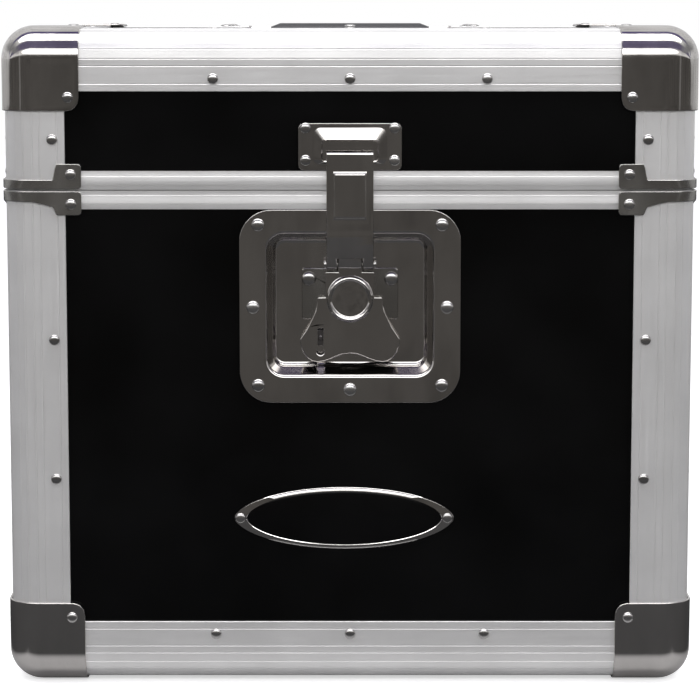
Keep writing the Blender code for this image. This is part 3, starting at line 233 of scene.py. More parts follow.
# Oval plate
OVAL_CENTRE = (-0.003, 0.0868)
OVAL_SIZE = (0.114, 0.0324)
OVAL_FIELD_SHARE = (0.895, 0.885)
OVAL_THICKNESS = 0.0010
OVAL_DOME = 0.0008
OVAL_RIM_RISE = 0.0003
OVAL_STEPS = 96
OVAL_BLUNTNESS = 0.12
OVAL_BEVEL_SHARE = 0.35
OVAL_FIELD_DROP_SHARE = 0.1
OVAL_DOME_DROP_SHARE = 0.4
OVAL_DOME_SHARES = (0.98, 0.9, 0.75, 0.5, 0.25, 0.08)
OVAL_RIVET = (0.0026, 0.0011)
OVAL_RIVET_PLACES = (-0.057, 0.0507)


def material(name, colour, roughness, metallic):
    """New Principled material and its nodes, links and shader."""
    made = bpy.data.materials.new(name)
    made.use_nodes = True
    tree = made.node_tree
    shader = tree.nodes["Principled BSDF"]
    shader.inputs["Base Color"].default_value = (*colour, 1)
    shader.inputs["Roughness"].default_value = roughness
    shader.inputs["Metallic"].default_value = metallic
    return made, tree, shader


def noise(tree, scale, detail, stretch=(1, 1, 1)):
    """Noise in object space, stretched along the axes."""
    place = tree.nodes.new("ShaderNodeTexCoord")
    mapping = tree.nodes.new("ShaderNodeMapping")
    mapping.inputs["Scale"].default_value = stretch
    texture = tree.nodes.new("ShaderNodeTexNoise")
    texture.inputs["Scale"].default_value = scale
    texture.inputs["Detail"].default_value = detail
    tree.links.new(place.outputs["Object"], mapping.inputs["Vector"])
    tree.links.new(mapping.outputs["Vector"], texture.inputs["Vector"])
    return texture.outputs["Fac"]


def ranged(tree, value, low, high):
    """Value of a noise carried to the range from low to high."""
    return mapped(tree, value, NOISE_SPAN, (low, high), "LINEAR")


def eased_range(tree, value, span, result=(0.0, 1.0)):
    """Value carried smoothly from one span to another."""
    return mapped(tree, value, span, result, "SMOOTHSTEP")


def mapped(tree, value, span, result, way):
    """Value carried from one span to another, evenly or smoothly."""
    node = tree.nodes.new("ShaderNodeMapRange")
    node.interpolation_type = way
    node.inputs["From Min"].default_value, node.inputs["From Max"].default_value = span
    node.inputs["To Min"].default_value, node.inputs["To Max"].default_value = result
    tree.links.new(value, node.inputs["Value"])
    return node.outputs["Result"]


def calculated(tree, operation, first, second=None):
    """Result of one sum, its second value a number or another result."""
    node = tree.nodes.new("ShaderNodeMath")
    node.operation = operation
    tree.links.new(first, node.inputs[0])
    if isinstance(second, (int, float)):
        node.inputs[1].default_value = second
    elif second is not None:
        tree.links.new(second, node.inputs[1])
    return node.outputs["Value"]


def blended(tree, value, dark, light):
    """Colour between two colours."""
    ramp = tree.nodes.new("ShaderNodeValToRGB")
    for element, position, colour in zip(ramp.color_ramp.elements, COLOUR_SPAN, (dark, light)):
        element.position = position
        element.color = (*colour, 1)
    tree.links.new(value, ramp.inputs["Fac"])
    return ramp.outputs["Color"]


def add_bump(tree, shader, value, strength, distance):
    """Bump on the shader from a value."""
    bump = tree.nodes.new("ShaderNodeBump")
    bump.inputs["Strength"].default_value = strength
    bump.inputs["Distance"].default_value = distance
    tree.links.new(value, bump.inputs["Height"])
    tree.links.new(bump.outputs["Normal"], shader.inputs["Normal"])


def aluminium(name, along):
    """Satin anodised aluminium with fine drawing lines along one axis."""
    made, tree, shader = material(name, *ALUMINIUM)
    stretch = [1.0, 1.0, 1.0]
    stretch[along] = DRAWN_STRETCH
    lines = noise(tree, *DRAWN_LINES, stretch)
    haze = noise(tree, *ALUMINIUM_HAZE)
    tree.links.new(blended(tree, haze, *ALUMINIUM_TONES), shader.inputs["Base Color"])
    tree.links.new(ranged(tree, lines, *ALUMINIUM_ROUGHNESS), shader.inputs["Roughness"])
    add_bump(tree, shader, lines, *DRAWN_BUMP)
    return made


def ridged_band():
    """Satin aluminium whose rolled ridges run round the case at the parting line."""
    made = aluminium("aluminium_band", 0)
    tree = made.node_tree
    bump = [node for node in tree.nodes if node.type == "BUMP"][0]
    place = tree.nodes.new("ShaderNodeTexCoord")
    parts = tree.nodes.new("ShaderNodeSeparateXYZ")
    tree.links.new(place.outputs["Object"], parts.inputs["Vector"])
    height = calculated(tree, "SUBTRACT", parts.outputs["Z"], PARTING)
    turn = calculated(tree, "MULTIPLY", height, 2 * math.pi / RIDGE_STEP)
    wave = calculated(tree, "SINE", calculated(tree, "ADD", turn, RIDGE_TURN))
    ridges = tree.nodes.new("ShaderNodeBump")
    ridges.inputs["Strength"].default_value = 1.0
    ridges.inputs["Distance"].default_value = RIDGE_RISE
    tree.links.new(wave, ridges.inputs["Height"])
    tree.links.new(ridges.outputs["Normal"], bump.inputs["Normal"])
    return made


def laminate():
    """Glossy black laminate with a faint orange peel and dust."""
    made, tree, shader = material("black_laminate", *LAMINATE)
    peel = noise(tree, *LAMINATE_PEEL)
    haze = noise(tree, *LAMINATE_HAZE)
    tree.links.new(blended(tree, haze, *LAMINATE_TONES), shader.inputs["Base Color"])
    tree.links.new(ranged(tree, haze, *LAMINATE_ROUGHNESS), shader.inputs["Roughness"])
    shader.inputs["Specular IOR Level"].default_value = LAMINATE_SPECULAR
    add_bump(tree, shader, peel, *PEEL_BUMP)
    return made


def plated(name, colour, low, high, wave):
    """Plated sheet steel with slight waves and smears."""
    made, tree, shader = material(name, colour, (low + high) / 2, 1.0)
    smear = noise(tree, *SMEAR, SMEAR_STRETCH)
    waves = noise(tree, *WAVES)
    darker = tuple(value * SMEAR_SHADE for value in colour)
    tree.links.new(blended(tree, smear, darker, colour), shader.inputs["Base Color"])
    tree.links.new(ranged(tree, smear, low, high), shader.inputs["Roughness"])
    add_bump(tree, shader, waves, wave, WAVE_DISTANCE)
    return made


def grip_rubber():
    """Dark moulded grip with a fine grain."""
    made, tree, shader = material("grip_rubber", *GRIP)
    grain = noise(tree, *GRIP_GRAIN)
    tree.links.new(ranged(tree, grain, *GRIP_ROUGHNESS), shader.inputs["Roughness"])
    tree.links.new(blended(tree, grain, *GRIP_TONES), shader.inputs["Base Color"])
    add_bump(tree, shader, grain, *GRIP_BUMP)
    return made


def smoothing():
    """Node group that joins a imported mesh's faces and shades it smooth up to an angle."""
    group = bpy.data.node_groups.new("smooth_by_angle", "GeometryNodeTree")
    group.interface.new_socket("Geometry", in_out="INPUT", socket_type="NodeSocketGeometry")
    group.interface.new_socket("Geometry", in_out="OUTPUT", socket_type="NodeSocketGeometry")
    nodes, links = group.nodes, group.links
    start = nodes.new("NodeGroupInput")
    end = nodes.new("NodeGroupOutput")
    plain = nodes.new("GeometryNodeRemoveAttribute")
    plain.inputs["Name"].default_value = "custom_normal"
    weld = nodes.new("GeometryNodeMergeByDistance")
    weld.inputs["Distance"].default_value = WELD_DISTANCE
    smooth = nodes.new("GeometryNodeSetShadeSmooth")
    angle = nodes.new("GeometryNodeInputMeshEdgeAngle")
    wide = nodes.new("FunctionNodeCompare")
    wide.data_type = "FLOAT"
    wide.operation = "GREATER_THAN"
    wide.inputs["B"].default_value = math.radians(EDGE_ANGLE)
    sharp = nodes.new("GeometryNodeSetShadeSmooth")
    sharp.domain = "EDGE"
    sharp.inputs["Shade Smooth"].default_value = False
    links.new(start.outputs[0], plain.inputs["Geometry"])
    links.new(plain.outputs["Geometry"], weld.inputs["Geometry"])
    links.new(weld.outputs["Geometry"], smooth.inputs["Geometry"])
    links.new(angle.outputs["Unsigned Angle"], wide.inputs["A"])
    links.new(smooth.outputs["Geometry"], sharp.inputs["Geometry"])
    links.new(wide.outputs["Result"], sharp.inputs["Selection"])
    links.new(sharp.outputs["Geometry"], end.inputs[0])
    return group


def weight_normals(piece, keep_sharp=True):
    """Normals by area, so that flat faces stay flat beside bevels and bends."""
    weighted = piece.modifiers.new("weighted", "WEIGHTED_NORMAL")
    weighted.keep_sharp = keep_sharp
    weighted.weight = 100


def dress_nodes(finishes):
    """Finish and smooth shading for every piece of the frame."""
    group = smoothing()
    long_axis = {"post": 2, "front": 0, "rear": 0, "left": 1, "right": 1, "band": 0}
    for name, piece in NODES.items():
        slot = [row["material_slot"] for row in frame["record"]["subparts"] if row["node"] == name][0]
        finish = finishes.get(slot)
        if slot == "aluminium":
            word = name.split("_")[1]
            end = name.split("_")[-1]
            finish = finishes["aluminium"][long_axis["post" if word == "post" else end]]
        # The lock cam takes the darkened steel, painted shade of the keyhole slot.
        if name == "latch_lock_cam":
            finish = finishes["lock"]
        if name.endswith("_band"):
            finish = finishes["band"]
        piece.data.materials.clear()
        piece.data.materials.append(finish)
        step = piece.modifiers.new("smooth", "NODES")
        step.node_group = group
        width = BRACE_BEVEL if "_brace_" in name else BEVELS.get(name)
        steep = "_rail_" in name or "_post_" in name
        if width or steep:
            bevel = piece.modifiers.new("bevel", "BEVEL")
            bevel.width = width or EXTRUSION_BEVEL
            bevel.segments = 2
            bevel.limit_method = "ANGLE"
            bevel.angle_limit = math.radians(STEEP_ANGLE if steep else EDGE_ANGLE)
            bevel.use_clamp_overlap = False
        weight_normals(piece)


def rivet_mesh(size):
    """Domed rivet head on +Z with a short upright rim."""
    radius, height = size
    rim = height * RIVET_RIM_SHARE
    profile = [(radius, -RIVET_SINK), (radius, rim)]
    for index in range(1, RIVET_RINGS):
        angle = math.radians(90 * index / RIVET_RINGS)
        profile.append((radius * math.cos(angle), rim + (height - rim) * math.sin(angle)))
    work = bmesh.new()
    rings = []
    for reach, rise in profile:
        points = []
        for index in range(RIVET_SIDES):
            turn = 2 * math.pi * index / RIVET_SIDES
            points.append(work.verts.new((reach * math.cos(turn), reach * math.sin(turn), rise)))
        rings.append(points)
    for first, second in zip(rings, rings[1:]):
        for index in range(RIVET_SIDES):
            after = (index + 1) % RIVET_SIDES
            work.faces.new((first[index], first[after], second[after], second[index]))
    work.faces.new(rings[-1])
    work.faces.new(rings[0][::-1])
    mesh = bpy.data.meshes.new("rivet")
    work.to_mesh(mesh)
    work.free()
    return mesh


def add_rivets(name, body, size, seats, finish):
    """One object with a rivet head on each seat, a pair of point and outward normal."""
    head = rivet_mesh(size)
    work = bmesh.new()
    for point, normal in seats:
        turn = Vector(normal).to_track_quat("Z", "Y").to_matrix().to_4x4()
        copy = head.copy()
        copy.transform(Matrix.Translation(point) @ turn)
        work.from_mesh(copy)
        bpy.data.meshes.remove(copy)
    bpy.data.meshes.remove(head)
    return add_piece(name, work, body, finish)


def add_piece(name, work, body, finish, sharp=40):
    """Object from a bmesh, smooth up to an angle, riding on a body."""
    mesh = bpy.data.meshes.new(name)
    work.to_mesh(mesh)
    work.free()
    mesh.materials.append(finish)
    mesh.shade_smooth()
    mesh.set_sharp_from_angle(angle=math.radians(sharp))
    piece = bpy.data.objects.new(name, mesh)
    bpy.context.scene.collection.objects.link(piece)
    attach(piece, body)
    return piece


def corner_steps(reach):
    """Tilt in degrees and distance along the flat for the rows of a ball corner's face."""
    rows = [(45 * (1 - index / CORNER_STEPS), 0) for index in range(CORNER_STEPS + 1)]
    flat = reach - CORNER_RADIUS
    for index in range(1, CORNER_FLAT_STEPS + 1):
        rows.append((0, flat * index / CORNER_FLAT_STEPS))
    return rows


def eased(place, flats):
    """Point on a flat whose free corner is drawn in to a quarter circle."""
    starts = [flat - CORNER_FREE_RADIUS for flat in flats]
    over = [(value - start) / CORNER_FREE_RADIUS for value, start in zip(place, starts)]
    if min(over) <= 0:
        return place
    share = max(over) / math.hypot(*over)
    return tuple(start + value * share * CORNER_FREE_RADIUS for value, start in zip(over, starts))


def corner_face(reaches):
    """Grid of outer points of one face, counted inward from the corner of the ball's box."""
    grid = []
    flats = [reach - CORNER_RADIUS for reach in reaches]
    for tilt_u, along_u in corner_steps(reaches[0]):
        line = []
        for tilt_v, along_v in corner_steps(reaches[1]):
            normal = Vector((math.tan(math.radians(tilt_u)), math.tan(math.radians(tilt_v)), 1))
            normal.normalize()
            u, v = eased((along_u, along_v), flats)
            centre = Vector((CORNER_RADIUS + u, CORNER_RADIUS + v, CORNER_RADIUS))
            line.append(centre - normal * CORNER_RADIUS)
        grid.append(line)
    return grid


def add_ball_corner(name, body, side, end, upper, finish):
    """Pressed ball corner with even roundings, which stands for the node of the same name."""
    low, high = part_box(name)
    corner = (high.x if side > 0 else low.x, high.y if end > 0 else low.y, high.z if upper else low.z)
    work = bmesh.new()
    for turn in range(3):
        grid = corner_face((CORNER_REACH[-turn % 3], CORNER_REACH[(1 - turn) % 3]))
        points = []
        for line in grid:
            row = []
            for point in line:
                u, v, w = [point[(axis + turn) % 3] for axis in range(3)]
                place = (corner[0] - side * u, corner[1] - end * v, corner[2] - (w if upper else -w))
                row.append(work.verts.new(place))
            points.append(row)
        for first, second in zip(points, points[1:]):
            for index in range(len(first) - 1):
                work.faces.new((first[index], first[index + 1], second[index + 1], second[index]))
    bmesh.ops.remove_doubles(work, verts=work.verts, dist=JOIN_DISTANCE)
    bmesh.ops.recalc_face_normals(work, faces=work.faces)
    middle = Vector(corner) - Vector((side, end, 1 if upper else -1)) * CORNER_REACH[2]
    face = max(work.faces, key=lambda item: (item.calc_center_median() - middle).length)
    if face.normal.dot(face.calc_center_median() - middle) < 0:
        bmesh.ops.reverse_faces(work, faces=work.faces)
    piece = add_piece(name + "_pressed", work, body, finish)
    shell = piece.modifiers.new("shell", "SOLIDIFY")
    shell.thickness = CORNER_THICKNESS
    shell.offset = -1
    rim = piece.modifiers.new("rim", "BEVEL")
    rim.width = CORNER_RIM_BEVEL
    rim.segments = 2
    rim.limit_method = "ANGLE"
    rim.angle_limit = math.radians(STEEP_ANGLE)
    weight_normals(piece, False)
    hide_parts(name)


def add_ball_corners(finish):
    """The eight pressed corners."""
    for label, body, upper in (("base", "base", False), ("lid", "lid", True)):
        for end_name, end in (("front", -1), ("rear", 1)):
            for side_name, side in (("left", -1), ("right", 1)):
                name = f"{label}_ball_corner_{end_name}_{side_name}"
                add_ball_corner(name, body, side, end, upper, finish)


def rounded_loop(work, frame, grow, depth):
    """Ring of vertices of a rounded rectangle on the front, grown outward."""
    left, right, low, high, radius = frame
    radius = max(radius + grow, LEAST_RADIUS)
    left, right, low, high = left - grow, right + grow, low - grow, high + grow
    points = []
    centres = ((right - radius, high - radius), (left + radius, high - radius),
               (left + radius, low + radius), (right - radius, low + radius))
    for quarter, (x, z) in enumerate(centres):
        for index in range(PRESSED_STEPS + 1):
            turn = math.radians(90 * (quarter + index / PRESSED_STEPS))
            place = (x + radius * math.cos(turn), depth, z + radius * math.sin(turn))
            points.append(work.verts.new(place))
    return points


def bend(start, middle, end):
    """Points of a smooth bend through a profile's corner."""
    points = []
    for index in range(BEND_STEPS + 1):
        share = index / BEND_STEPS
        first = [a + (b - a) * share for a, b in zip(start, middle)]
        second = [a + (b - a) * share for a, b in zip(middle, end)]
        points.append(tuple(a + (b - a) * share for a, b in zip(first, second)))
    return points


def add_plate(name, rings, body, finish, sharp):
    """Plate skinned over its rings, which stands for the node of the same name."""
    work = bmesh.new()
    loops = [rounded_loop(work, frame, grow, depth) for frame, grow, depth in rings]
    skin(work, loops)
    work.faces.new(loops[0][::-1])
    bmesh.ops.recalc_face_normals(work, faces=work.faces)
    piece = add_piece(name + "_pressed", work, body, finish, sharp)
    weight_normals(piece)
    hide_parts(name)


def add_latch_dish(finish):
    """Latch plate and its dish, with even bends."""
    low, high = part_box("latch_dish")
    half, bottom, top, radius, slope = LATCH_DISH
    plate = (low.x, high.x, low.z, high.z, LATCH_PLATE_RADIUS)
    dish = (-half, half, BOTTOM + bottom, BOTTOM + top, radius)
    face = low.y
    floor = high.y - PRESSED_SHEET
    back = face + PRESSED_SHEET
    edge = PRESSED_SHEET / 3
    wall = slope / (floor - face)
    rings = []
    for grow, depth in bend((-slope - PRESSED_FOOT, floor), (-slope, floor),
                            (-slope + wall * PRESSED_FOOT, floor - PRESSED_FOOT)):
        rings.append((dish, grow, depth))
    for grow, depth in bend((-wall * PRESSED_RIM, face + PRESSED_RIM), (0, face), (PRESSED_RIM, face)):
        rings.append((dish, grow, depth))
    for grow, depth in bend((-edge, face), (0, face), (0, face + edge)):
        rings.append((plate, grow, depth))
    rings += [(plate, 0, back), (dish, PRESSED_SHEET, back), (dish, PRESSED_SHEET - slope, high.y)]
    add_plate("latch_dish", rings, "base", finish, 60)


def add_catch(finish):
    """Catch with a raised pad round the well that takes the strap's lip."""
    low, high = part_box("latch_catch")
    plate = (low.x, high.x, low.z, high.z, CATCH_PLATE_RADIUS)
    pad, well = [(-half, half, BOTTOM + bottom, BOTTOM + top, radius)
                 for half, bottom, top, radius in (CATCH_PAD, CATCH_WELL)]
    face = low.y
    front = face - CATCH_PAD_RISE
    floor = high.y - PRESSED_SHEET
    edge = PRESSED_SHEET / 3
    rings = [(well, -edge * 2, floor), (well, -edge, front + edge)]
    rings += [(well, 0, front), (well, edge, front), (pad, -edge, face - edge / 2), (pad, edge, face)]
    for grow, depth in bend((-edge, face), (0, face), (0, face + edge)):
        rings.append((plate, grow, depth))
    rings += [(plate, 0, face + PRESSED_SHEET), (well, 0, face + PRESSED_SHEET), (well, 0, high.y)]
    add_plate("latch_catch", rings, "lid", finish, 30)


def on_all_sides(across, height, reach=0.0):
    """Seats on the four upright faces at a distance from each upright edge of the case."""
    seats = []
    for side in (-1, 1):
        for end in (-1, 1):
            middle = CASE_MIDDLE
            half = (REAR - FRONT) / 2
            seats.append(((side * (RIGHT - across), middle + end * (half + reach), height), (0, end, 0)))
            seats.append(((side * (RIGHT + reach), middle + end * (half - across), height), (side, 0, 0)))
    return seats


def rail_seats(height, level, outward):
    """Seats along the four rails: those on upright faces, and those on level faces."""
    upright_seats = []
    level_seats = []
    inset = EDGE_LEG - RIVET_FROM_FREE_EDGE
    half = (REAR - FRONT) / 2
    for step in (-1, 0, 1):
        along = step * RAIL_RIVET_STEP
        for end in (-1, 1):
            upright_seats.append(((along, CASE_MIDDLE + end * half, height), (0, end, 0)))
            upright_seats.append(((end * RIGHT, CASE_MIDDLE + along, height), (end, 0, 0)))
            y = CASE_MIDDLE + end * (half - inset)
            level_seats.append(((along, y, level), (0, 0, outward)))
            x = end * (RIGHT - inset)
            level_seats.append(((x, CASE_MIDDLE + along, level), (0, 0, outward)))
    return upright_seats, level_seats


def add_edge_rivets(finish):
    """Rivets of the extrusions, ball corners and braces."""
    inset = EDGE_LEG - RIVET_FROM_FREE_EDGE
    lid, lid_level = rail_seats(TOP - inset, TOP, 1)
    base, base_level = rail_seats(BOTTOM + inset, BOTTOM, -1)
    lid += on_all_sides(inset, TOP - LID_POST_RIVET)
    for drop in BASE_POST_RIVETS:
        base += on_all_sides(inset, TOP - drop)
    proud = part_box("lid_ball_corner_front_left")[1].z - TOP
    add_rivets("lid_edge_rivets", "lid", EDGE_RIVET, lid, finish)
    add_rivets("base_edge_rivets", "base", EDGE_RIVET, base, finish)
    lid = on_all_sides(LID_BALL_RIVET[0], TOP - LID_BALL_RIVET[1], proud)
    half = (REAR - FRONT) / 2
    for side in (-1, 1):
        for end in (-1, 1):
            x = side * (RIGHT - LID_BALL_RIVET[0])
            y = CASE_MIDDLE + end * (half - LID_BALL_RIVET[0])
            lid_level.append(((x, y, TOP + proud), (0, 0, 1)))
    base = on_all_sides(BASE_BALL_RIVET[0], BOTTOM + BASE_BALL_RIVET[1], proud)
    lid += on_all_sides(BRACE_RIVET_PLACE, PARTING + LID_BRACE_RIVET, proud)
    base += on_all_sides(BRACE_RIVET_PLACE, PARTING - BASE_BRACE_RIVET, proud)
    add_rivets("lid_level_rivets", "lid", LEVEL_RIVET, lid_level, finish)
    add_rivets("base_level_rivets", "base", LEVEL_RIVET, base_level, finish)
    add_rivets("lid_corner_rivets", "lid", SMALL_RIVET, lid, finish)
    add_rivets("base_corner_rivets", "base", SMALL_RIVET, base, finish)


def front_seats(places, depth):
    """Mirrored seats on the front, from distances across and above the underside."""
    seats = []
    for across, height in places:
        for side in ((-1, 1) if across else (1,)):
            seats.append(((side * across, depth, BOTTOM + height), (0, -1, 0)))
    return seats


def add_latch_rivets(finish):
    """Rivets of the latch dish, the catch and the lever's bracket."""
    add_rivets("latch_dish_rivets", "base", PLATE_RIVET,
               front_seats(DISH_RIVETS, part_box("latch_dish")[0].y), finish)
    add_rivets("latch_catch_rivets", "lid", SMALL_RIVET,
               front_seats(CATCH_RIVETS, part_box("latch_catch")[0].y), finish)
    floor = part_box("latch_dish")[1].y - PRESSED_SHEET - BRACKET_STAND
    add_rivets("latch_bracket_rivets", "base", BRACKET_RIVET,
               front_seats(BRACKET_RIVETS, floor), finish)


def add_handle_rivets(finish):
    """Rivets of the handle's plate, in its corners and halfway along its long sides."""
    low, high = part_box("handle_dish")
    middle = (low.y + high.y) / 2
    across = high.x - HANDLE_RIVET_INSET
    along = (high.y - low.y) / 2 - HANDLE_RIVET_INSET
    seats = []
    for x, y in ((across, along), (0, along), (across, 0)):
        for side in ((-1, 1) if x else (1,)):
            for end in ((-1, 1) if y else (1,)):
                seats.append(((side * x, middle + end * y, high.z), (0, 0, 1)))
    add_rivets("handle_dish_rivets", "lid", HANDLE_RIVET, seats, finish)


def add_hinge_rivets(finish):
    """Two rivets in each leaf of the rear hinges."""
    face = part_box("base_panel_rear")[1].y + HINGE_LEAF_STAND
    for leaf, body in (("lid", "lid"), ("base", "base")):
        seats = []
        for side_name in ("left", "right"):
            low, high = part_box(f"hinge_{leaf}_leaf_{side_name}")
            middle = (low.x + high.x) / 2
            place = high.z - HINGE_RIVET_INSET if leaf == "lid" else low.z + HINGE_RIVET_INSET
            for side in (-1, 1):
                seats.append(((middle + side * HINGE_RIVET_PLACE, face, place), (0, 1, 0)))
        add_rivets(leaf + "_hinge_rivets", body, SMALL_RIVET, seats, finish)


def oval_loop(work, half_width, half_height, depth):
    """Ring of vertices of an upright oval that comes to blunt points at its ends."""
    points = []
    for index in range(OVAL_STEPS):
        turn = 2 * math.pi * index / OVAL_STEPS
        x = OVAL_CENTRE[0] + half_width * math.cos(turn)
        z = BOTTOM + OVAL_CENTRE[1] + half_height * math.sin(turn) * abs(math.sin(turn)) ** OVAL_BLUNTNESS
        points.append(work.verts.new((x, depth, z)))
    return points


def skin(work, rings):
    """Quads between neighbouring rings, and a cap on the last one."""
    for first, second in zip(rings, rings[1:]):
        for index, corner in enumerate(first):
            after = (index + 1) % len(first)
            work.faces.new((corner, first[after], second[after], second[index]))
    work.faces.new(rings[-1])


def add_oval_plate(rim_finish, field_finish, rivet_finish):
    """Oval plate with a bright rim and a bare black field."""
    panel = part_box("base_panel_front")[0].y
    half_w, half_h = OVAL_SIZE[0] / 2, OVAL_SIZE[1] / 2
    field_w, field_h = half_w * OVAL_FIELD_SHARE[0], half_h * OVAL_FIELD_SHARE[1]
    face = panel - OVAL_THICKNESS
    bevel = OVAL_THICKNESS * OVAL_BEVEL_SHARE
    work = bmesh.new()
    skin(work, [
        oval_loop(work, half_w, half_h, panel),
        oval_loop(work, half_w, half_h, face + bevel),
        oval_loop(work, half_w - bevel, half_h - bevel, face),
        oval_loop(work, field_w, field_h, face - OVAL_RIM_RISE),
        oval_loop(work, field_w - bevel, field_h - bevel, face),
    ])
    bmesh.ops.recalc_face_normals(work, faces=work.faces)
    add_piece("oval_plate_rim", work, "base", rim_finish)
    work = bmesh.new()
    inner_w, inner_h = field_w - bevel, field_h - bevel
    rings = [oval_loop(work, inner_w, inner_h, face - OVAL_RIM_RISE * OVAL_FIELD_DROP_SHARE)]
    for share in OVAL_DOME_SHARES:
        depth = face - OVAL_RIM_RISE * OVAL_DOME_DROP_SHARE - OVAL_DOME * (1 - share * share)
        rings.append(oval_loop(work, inner_w * share, inner_h * share, depth))
    skin(work, rings)
    bmesh.ops.recalc_face_normals(work, faces=work.faces)
    add_piece("oval_plate_field", work, "base", field_finish)
    seats = [((x, face, BOTTOM + OVAL_CENTRE[1]), (0, -1, 0)) for x in OVAL_RIVET_PLACES]
    add_rivets("oval_plate_rivets", "base", OVAL_RIVET, seats, rivet_finish)


def add_floor():
    """Pale floor that shows white to the camera and keeps a soft shadow."""
    bpy.ops.mesh.primitive_plane_add(size=FLOOR_SIZE)
    floor = bpy.context.object
    floor.name = "floor"
    floor.location = (0, FLOOR_MIDDLE, -FLOOR_DROP)
    made, tree, shader = material("floor_white", FLOOR_TONE, FLOOR_ROUGHNESS, 0.0)
    output = [node for node in tree.nodes if node.type == "OUTPUT_MATERIAL"][0]
    shader.inputs["Specular IOR Level"].default_value = 0.0
    path = tree.nodes.new("ShaderNodeLightPath")
    place = tree.nodes.new("ShaderNodeTexCoord")
    parts = tree.nodes.new("ShaderNodeSeparateXYZ")
    across = calculated(tree, "ABSOLUTE", parts.outputs["X"])
    across = calculated(tree, "SUBTRACT", across, RIGHT)
    along = calculated(tree, "MULTIPLY", parts.outputs["Y"], -1)
    along = calculated(tree, "ADD", along, FRONT - FLOOR_MIDDLE)
    outside = calculated(tree, "MAXIMUM", across, along)
    mirrored = eased_range(tree, outside, MIRRORED_FLOOR_FADE, MIRRORED_FLOOR)
    colour = tree.nodes.new("ShaderNodeMix")
    colour.data_type = "RGBA"
    colour.inputs["A"].default_value = (*FLOOR_TONE, 1)
    tree.links.new(place.outputs["Object"], parts.inputs["Vector"])
    tree.links.new(path.outputs["Is Glossy Ray"], colour.inputs["Factor"])
    tree.links.new(mirrored, colour.inputs["B"])
    tree.links.new(colour.outputs["Result"], shader.inputs["Base Color"])
    glow = tree.nodes.new("ShaderNodeEmission")
    glow.inputs["Strength"].default_value = FLOOR_GLOW
    total = tree.nodes.new("ShaderNodeAddShader")
    mix = tree.nodes.new("ShaderNodeMixShader")
    tree.links.new(shader.outputs["BSDF"], total.inputs[0])
    tree.links.new(glow.outputs["Emission"], total.inputs[1])
    tree.links.new(path.outputs["Is Camera Ray"], mix.inputs["Fac"])
    tree.links.new(shader.outputs["BSDF"], mix.inputs[1])
    tree.links.new(total.outputs["Shader"], mix.inputs[2])
    tree.links.new(mix.outputs["Shader"], output.inputs["Surface"])
    floor.data.materials.append(made)


def world_light():
    """Studio all round: white to the camera, and bands of light and dark to the metal."""
    world = bpy.data.worlds.new("studio")
    bpy.context.scene.world = world
    world.use_nodes = True
    tree = world.node_tree
    tree.nodes.clear()
    output = tree.nodes.new("ShaderNodeOutputWorld")
    place = tree.nodes.new("ShaderNodeTexCoord")
    parts = tree.nodes.new("ShaderNodeSeparateXYZ")
    tree.links.new(place.outputs["Generated"], parts.inputs["Vector"])
    ahead = calculated(tree, "MULTIPLY", parts.outputs["Y"], -1)
    angle = calculated(tree, "ARCTAN2", parts.outputs["Z"], ahead)
    turn = tree.nodes.new("ShaderNodeMapRange")
    turn.inputs["From Min"].default_value = -math.pi
    turn.inputs["From Max"].default_value = math.pi
    tree.links.new(angle, turn.inputs["Value"])
    bands = tree.nodes.new("ShaderNodeValToRGB")
    ramp = bands.color_ramp
    for element, (degrees, colour) in zip(ramp.elements, (STUDIO_BANDS[0], STUDIO_BANDS[-1])):
        element.position = (degrees + 180) / 360
        element.color = (*colour, 1)
    for degrees, colour in STUDIO_BANDS[1:-1]:
        element = ramp.elements.new((degrees + 180) / 360)
        element.color = (*colour, 1)
    tree.links.new(turn.outputs["Result"], bands.inputs["Fac"])
    mottle = tree.nodes.new("ShaderNodeTexNoise")
    mottle.inputs["Scale"].default_value, mottle.inputs["Detail"].default_value = MOTTLE
    tree.links.new(place.outputs["Generated"], mottle.inputs["Vector"])
    studio = tree.nodes.new("ShaderNodeBackground")
    aside = eased_range(tree, calculated(tree, "ABSOLUTE", parts.outputs["X"]), SIDE_FADE)
    raised = eased_range(tree, parts.outputs["Z"], SIDE_RISE)
    share = calculated(tree, "MULTIPLY", aside, raised)
    sides = tree.nodes.new("ShaderNodeMix")
    sides.data_type = "RGBA"
    sides.inputs["B"].default_value = (*SIDE_GREY, 1)
    tree.links.new(share, sides.inputs["Factor"])
    tree.links.new(bands.outputs["Color"], sides.inputs["A"])
    tree.links.new(sides.outputs["Result"], studio.inputs["Color"])
    tree.links.new(ranged(tree, mottle.outputs["Fac"], *MOTTLE_SHARES), studio.inputs["Strength"])
    white = tree.nodes.new("ShaderNodeBackground")
    white.inputs["Color"].default_value = (1, 1, 1, 1)
    path = tree.nodes.new("ShaderNodeLightPath")
    mix = tree.nodes.new("ShaderNodeMixShader")
    tree.links.new(path.outputs["Is Camera Ray"], mix.inputs["Fac"])
    tree.links.new(studio.outputs["Background"], mix.inputs[1])
    tree.links.new(white.outputs["Background"], mix.inputs[2])
    tree.links.new(mix.outputs["Shader"], output.inputs["Surface"])


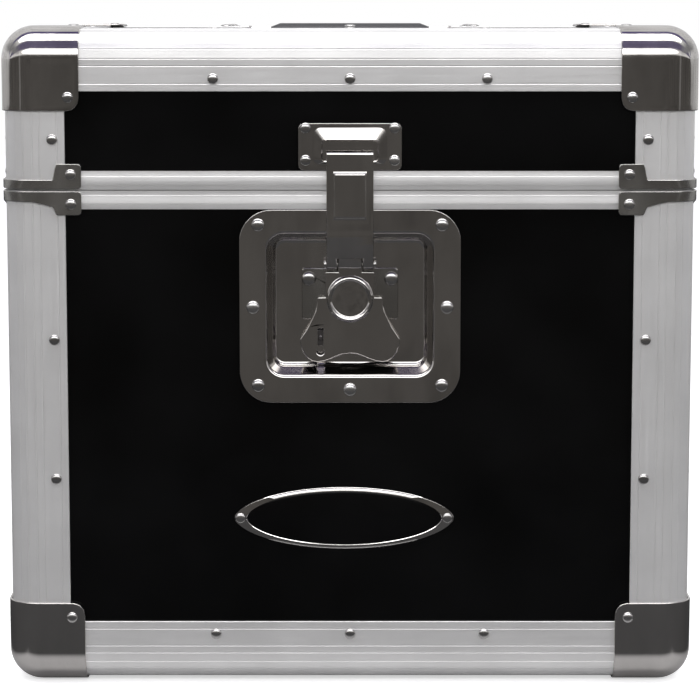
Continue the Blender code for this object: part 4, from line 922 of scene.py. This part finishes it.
def add_lamp(name, place, size, power):
    """Soft area lamp that looks at the middle of the case."""
    target = Vector((0, CASE_MIDDLE, TOP / 2))
    lamp = bpy.data.lights.new(name, "AREA")
    lamp.shape = "ELLIPSE" if size[0] > OVAL_LAMP_WIDTH else "RECTANGLE"
    lamp.size, lamp.size_y = size
    lamp.energy = power
    holder = bpy.data.objects.new(name, lamp)
    holder.location = place
    holder.rotation_euler = (target - Vector(place)).to_track_quat("-Z", "Y").to_euler()
    bpy.context.scene.collection.objects.link(holder)
    return holder


def add_lamps():
    """Overhead softbox, a front softbox, two side fills and two narrow strips."""
    add_lamp("overhead", *OVERHEAD)
    add_lamp("front_fill", *FRONT_FILL)
    for name, side, power in SIDE_POWERS:
        (across, along, height), size = SIDE_FILL
        fill = add_lamp(name + "_fill", (side * across, along, height), size, power)
        fill.visible_glossy = False
        (across, along, height), size, power = SIDE_STRIP
        add_lamp(name + "_strip", (side * across, along, height), size, power)


def add_camera():
    """Camera at the photograph's angle and frame."""
    focal_px = 2632.0
    photo_px = 700.0
    distance = 1.348
    height = 0.3469
    pitch = 7.2
    lens = bpy.data.cameras.new("camera")
    lens.sensor_width = 36.0
    lens.lens = focal_px / photo_px * lens.sensor_width
    camera = bpy.data.objects.new("camera", lens)
    camera.location = (0, FRONT - distance, height)
    camera.rotation_euler = (math.radians(90 - pitch), 0, 0)
    bpy.context.scene.collection.objects.link(camera)
    bpy.context.scene.camera = camera


chrome = plated("plated_bright", *BRIGHT)
zinc = plated("rivet_zinc", *ZINC)
dress_nodes({
    "aluminium": [aluminium("aluminium_along_x", 0), aluminium("aluminium_along_y", 1),
                  aluminium("aluminium_upright", 2)],
    "band": ridged_band(),
    "laminate": laminate(),
    "chrome": chrome,
    "steel": plated("plated_satin", *SATIN),
    "rubber": grip_rubber(),
    "lock": plated("lock_steel_painted_shade", *LOCK_STEEL_PAINTED_SHADE),
})
add_ball_corners(chrome)
add_latch_dish(chrome)
add_catch(chrome)
add_edge_rivets(zinc)
add_latch_rivets(zinc)
add_handle_rivets(zinc)
add_hinge_rivets(zinc)
add_oval_plate(chrome, laminate(), zinc)
add_floor()
world_light()
add_lamps()
add_camera()
bpy.context.scene.view_settings.view_transform = "Standard"
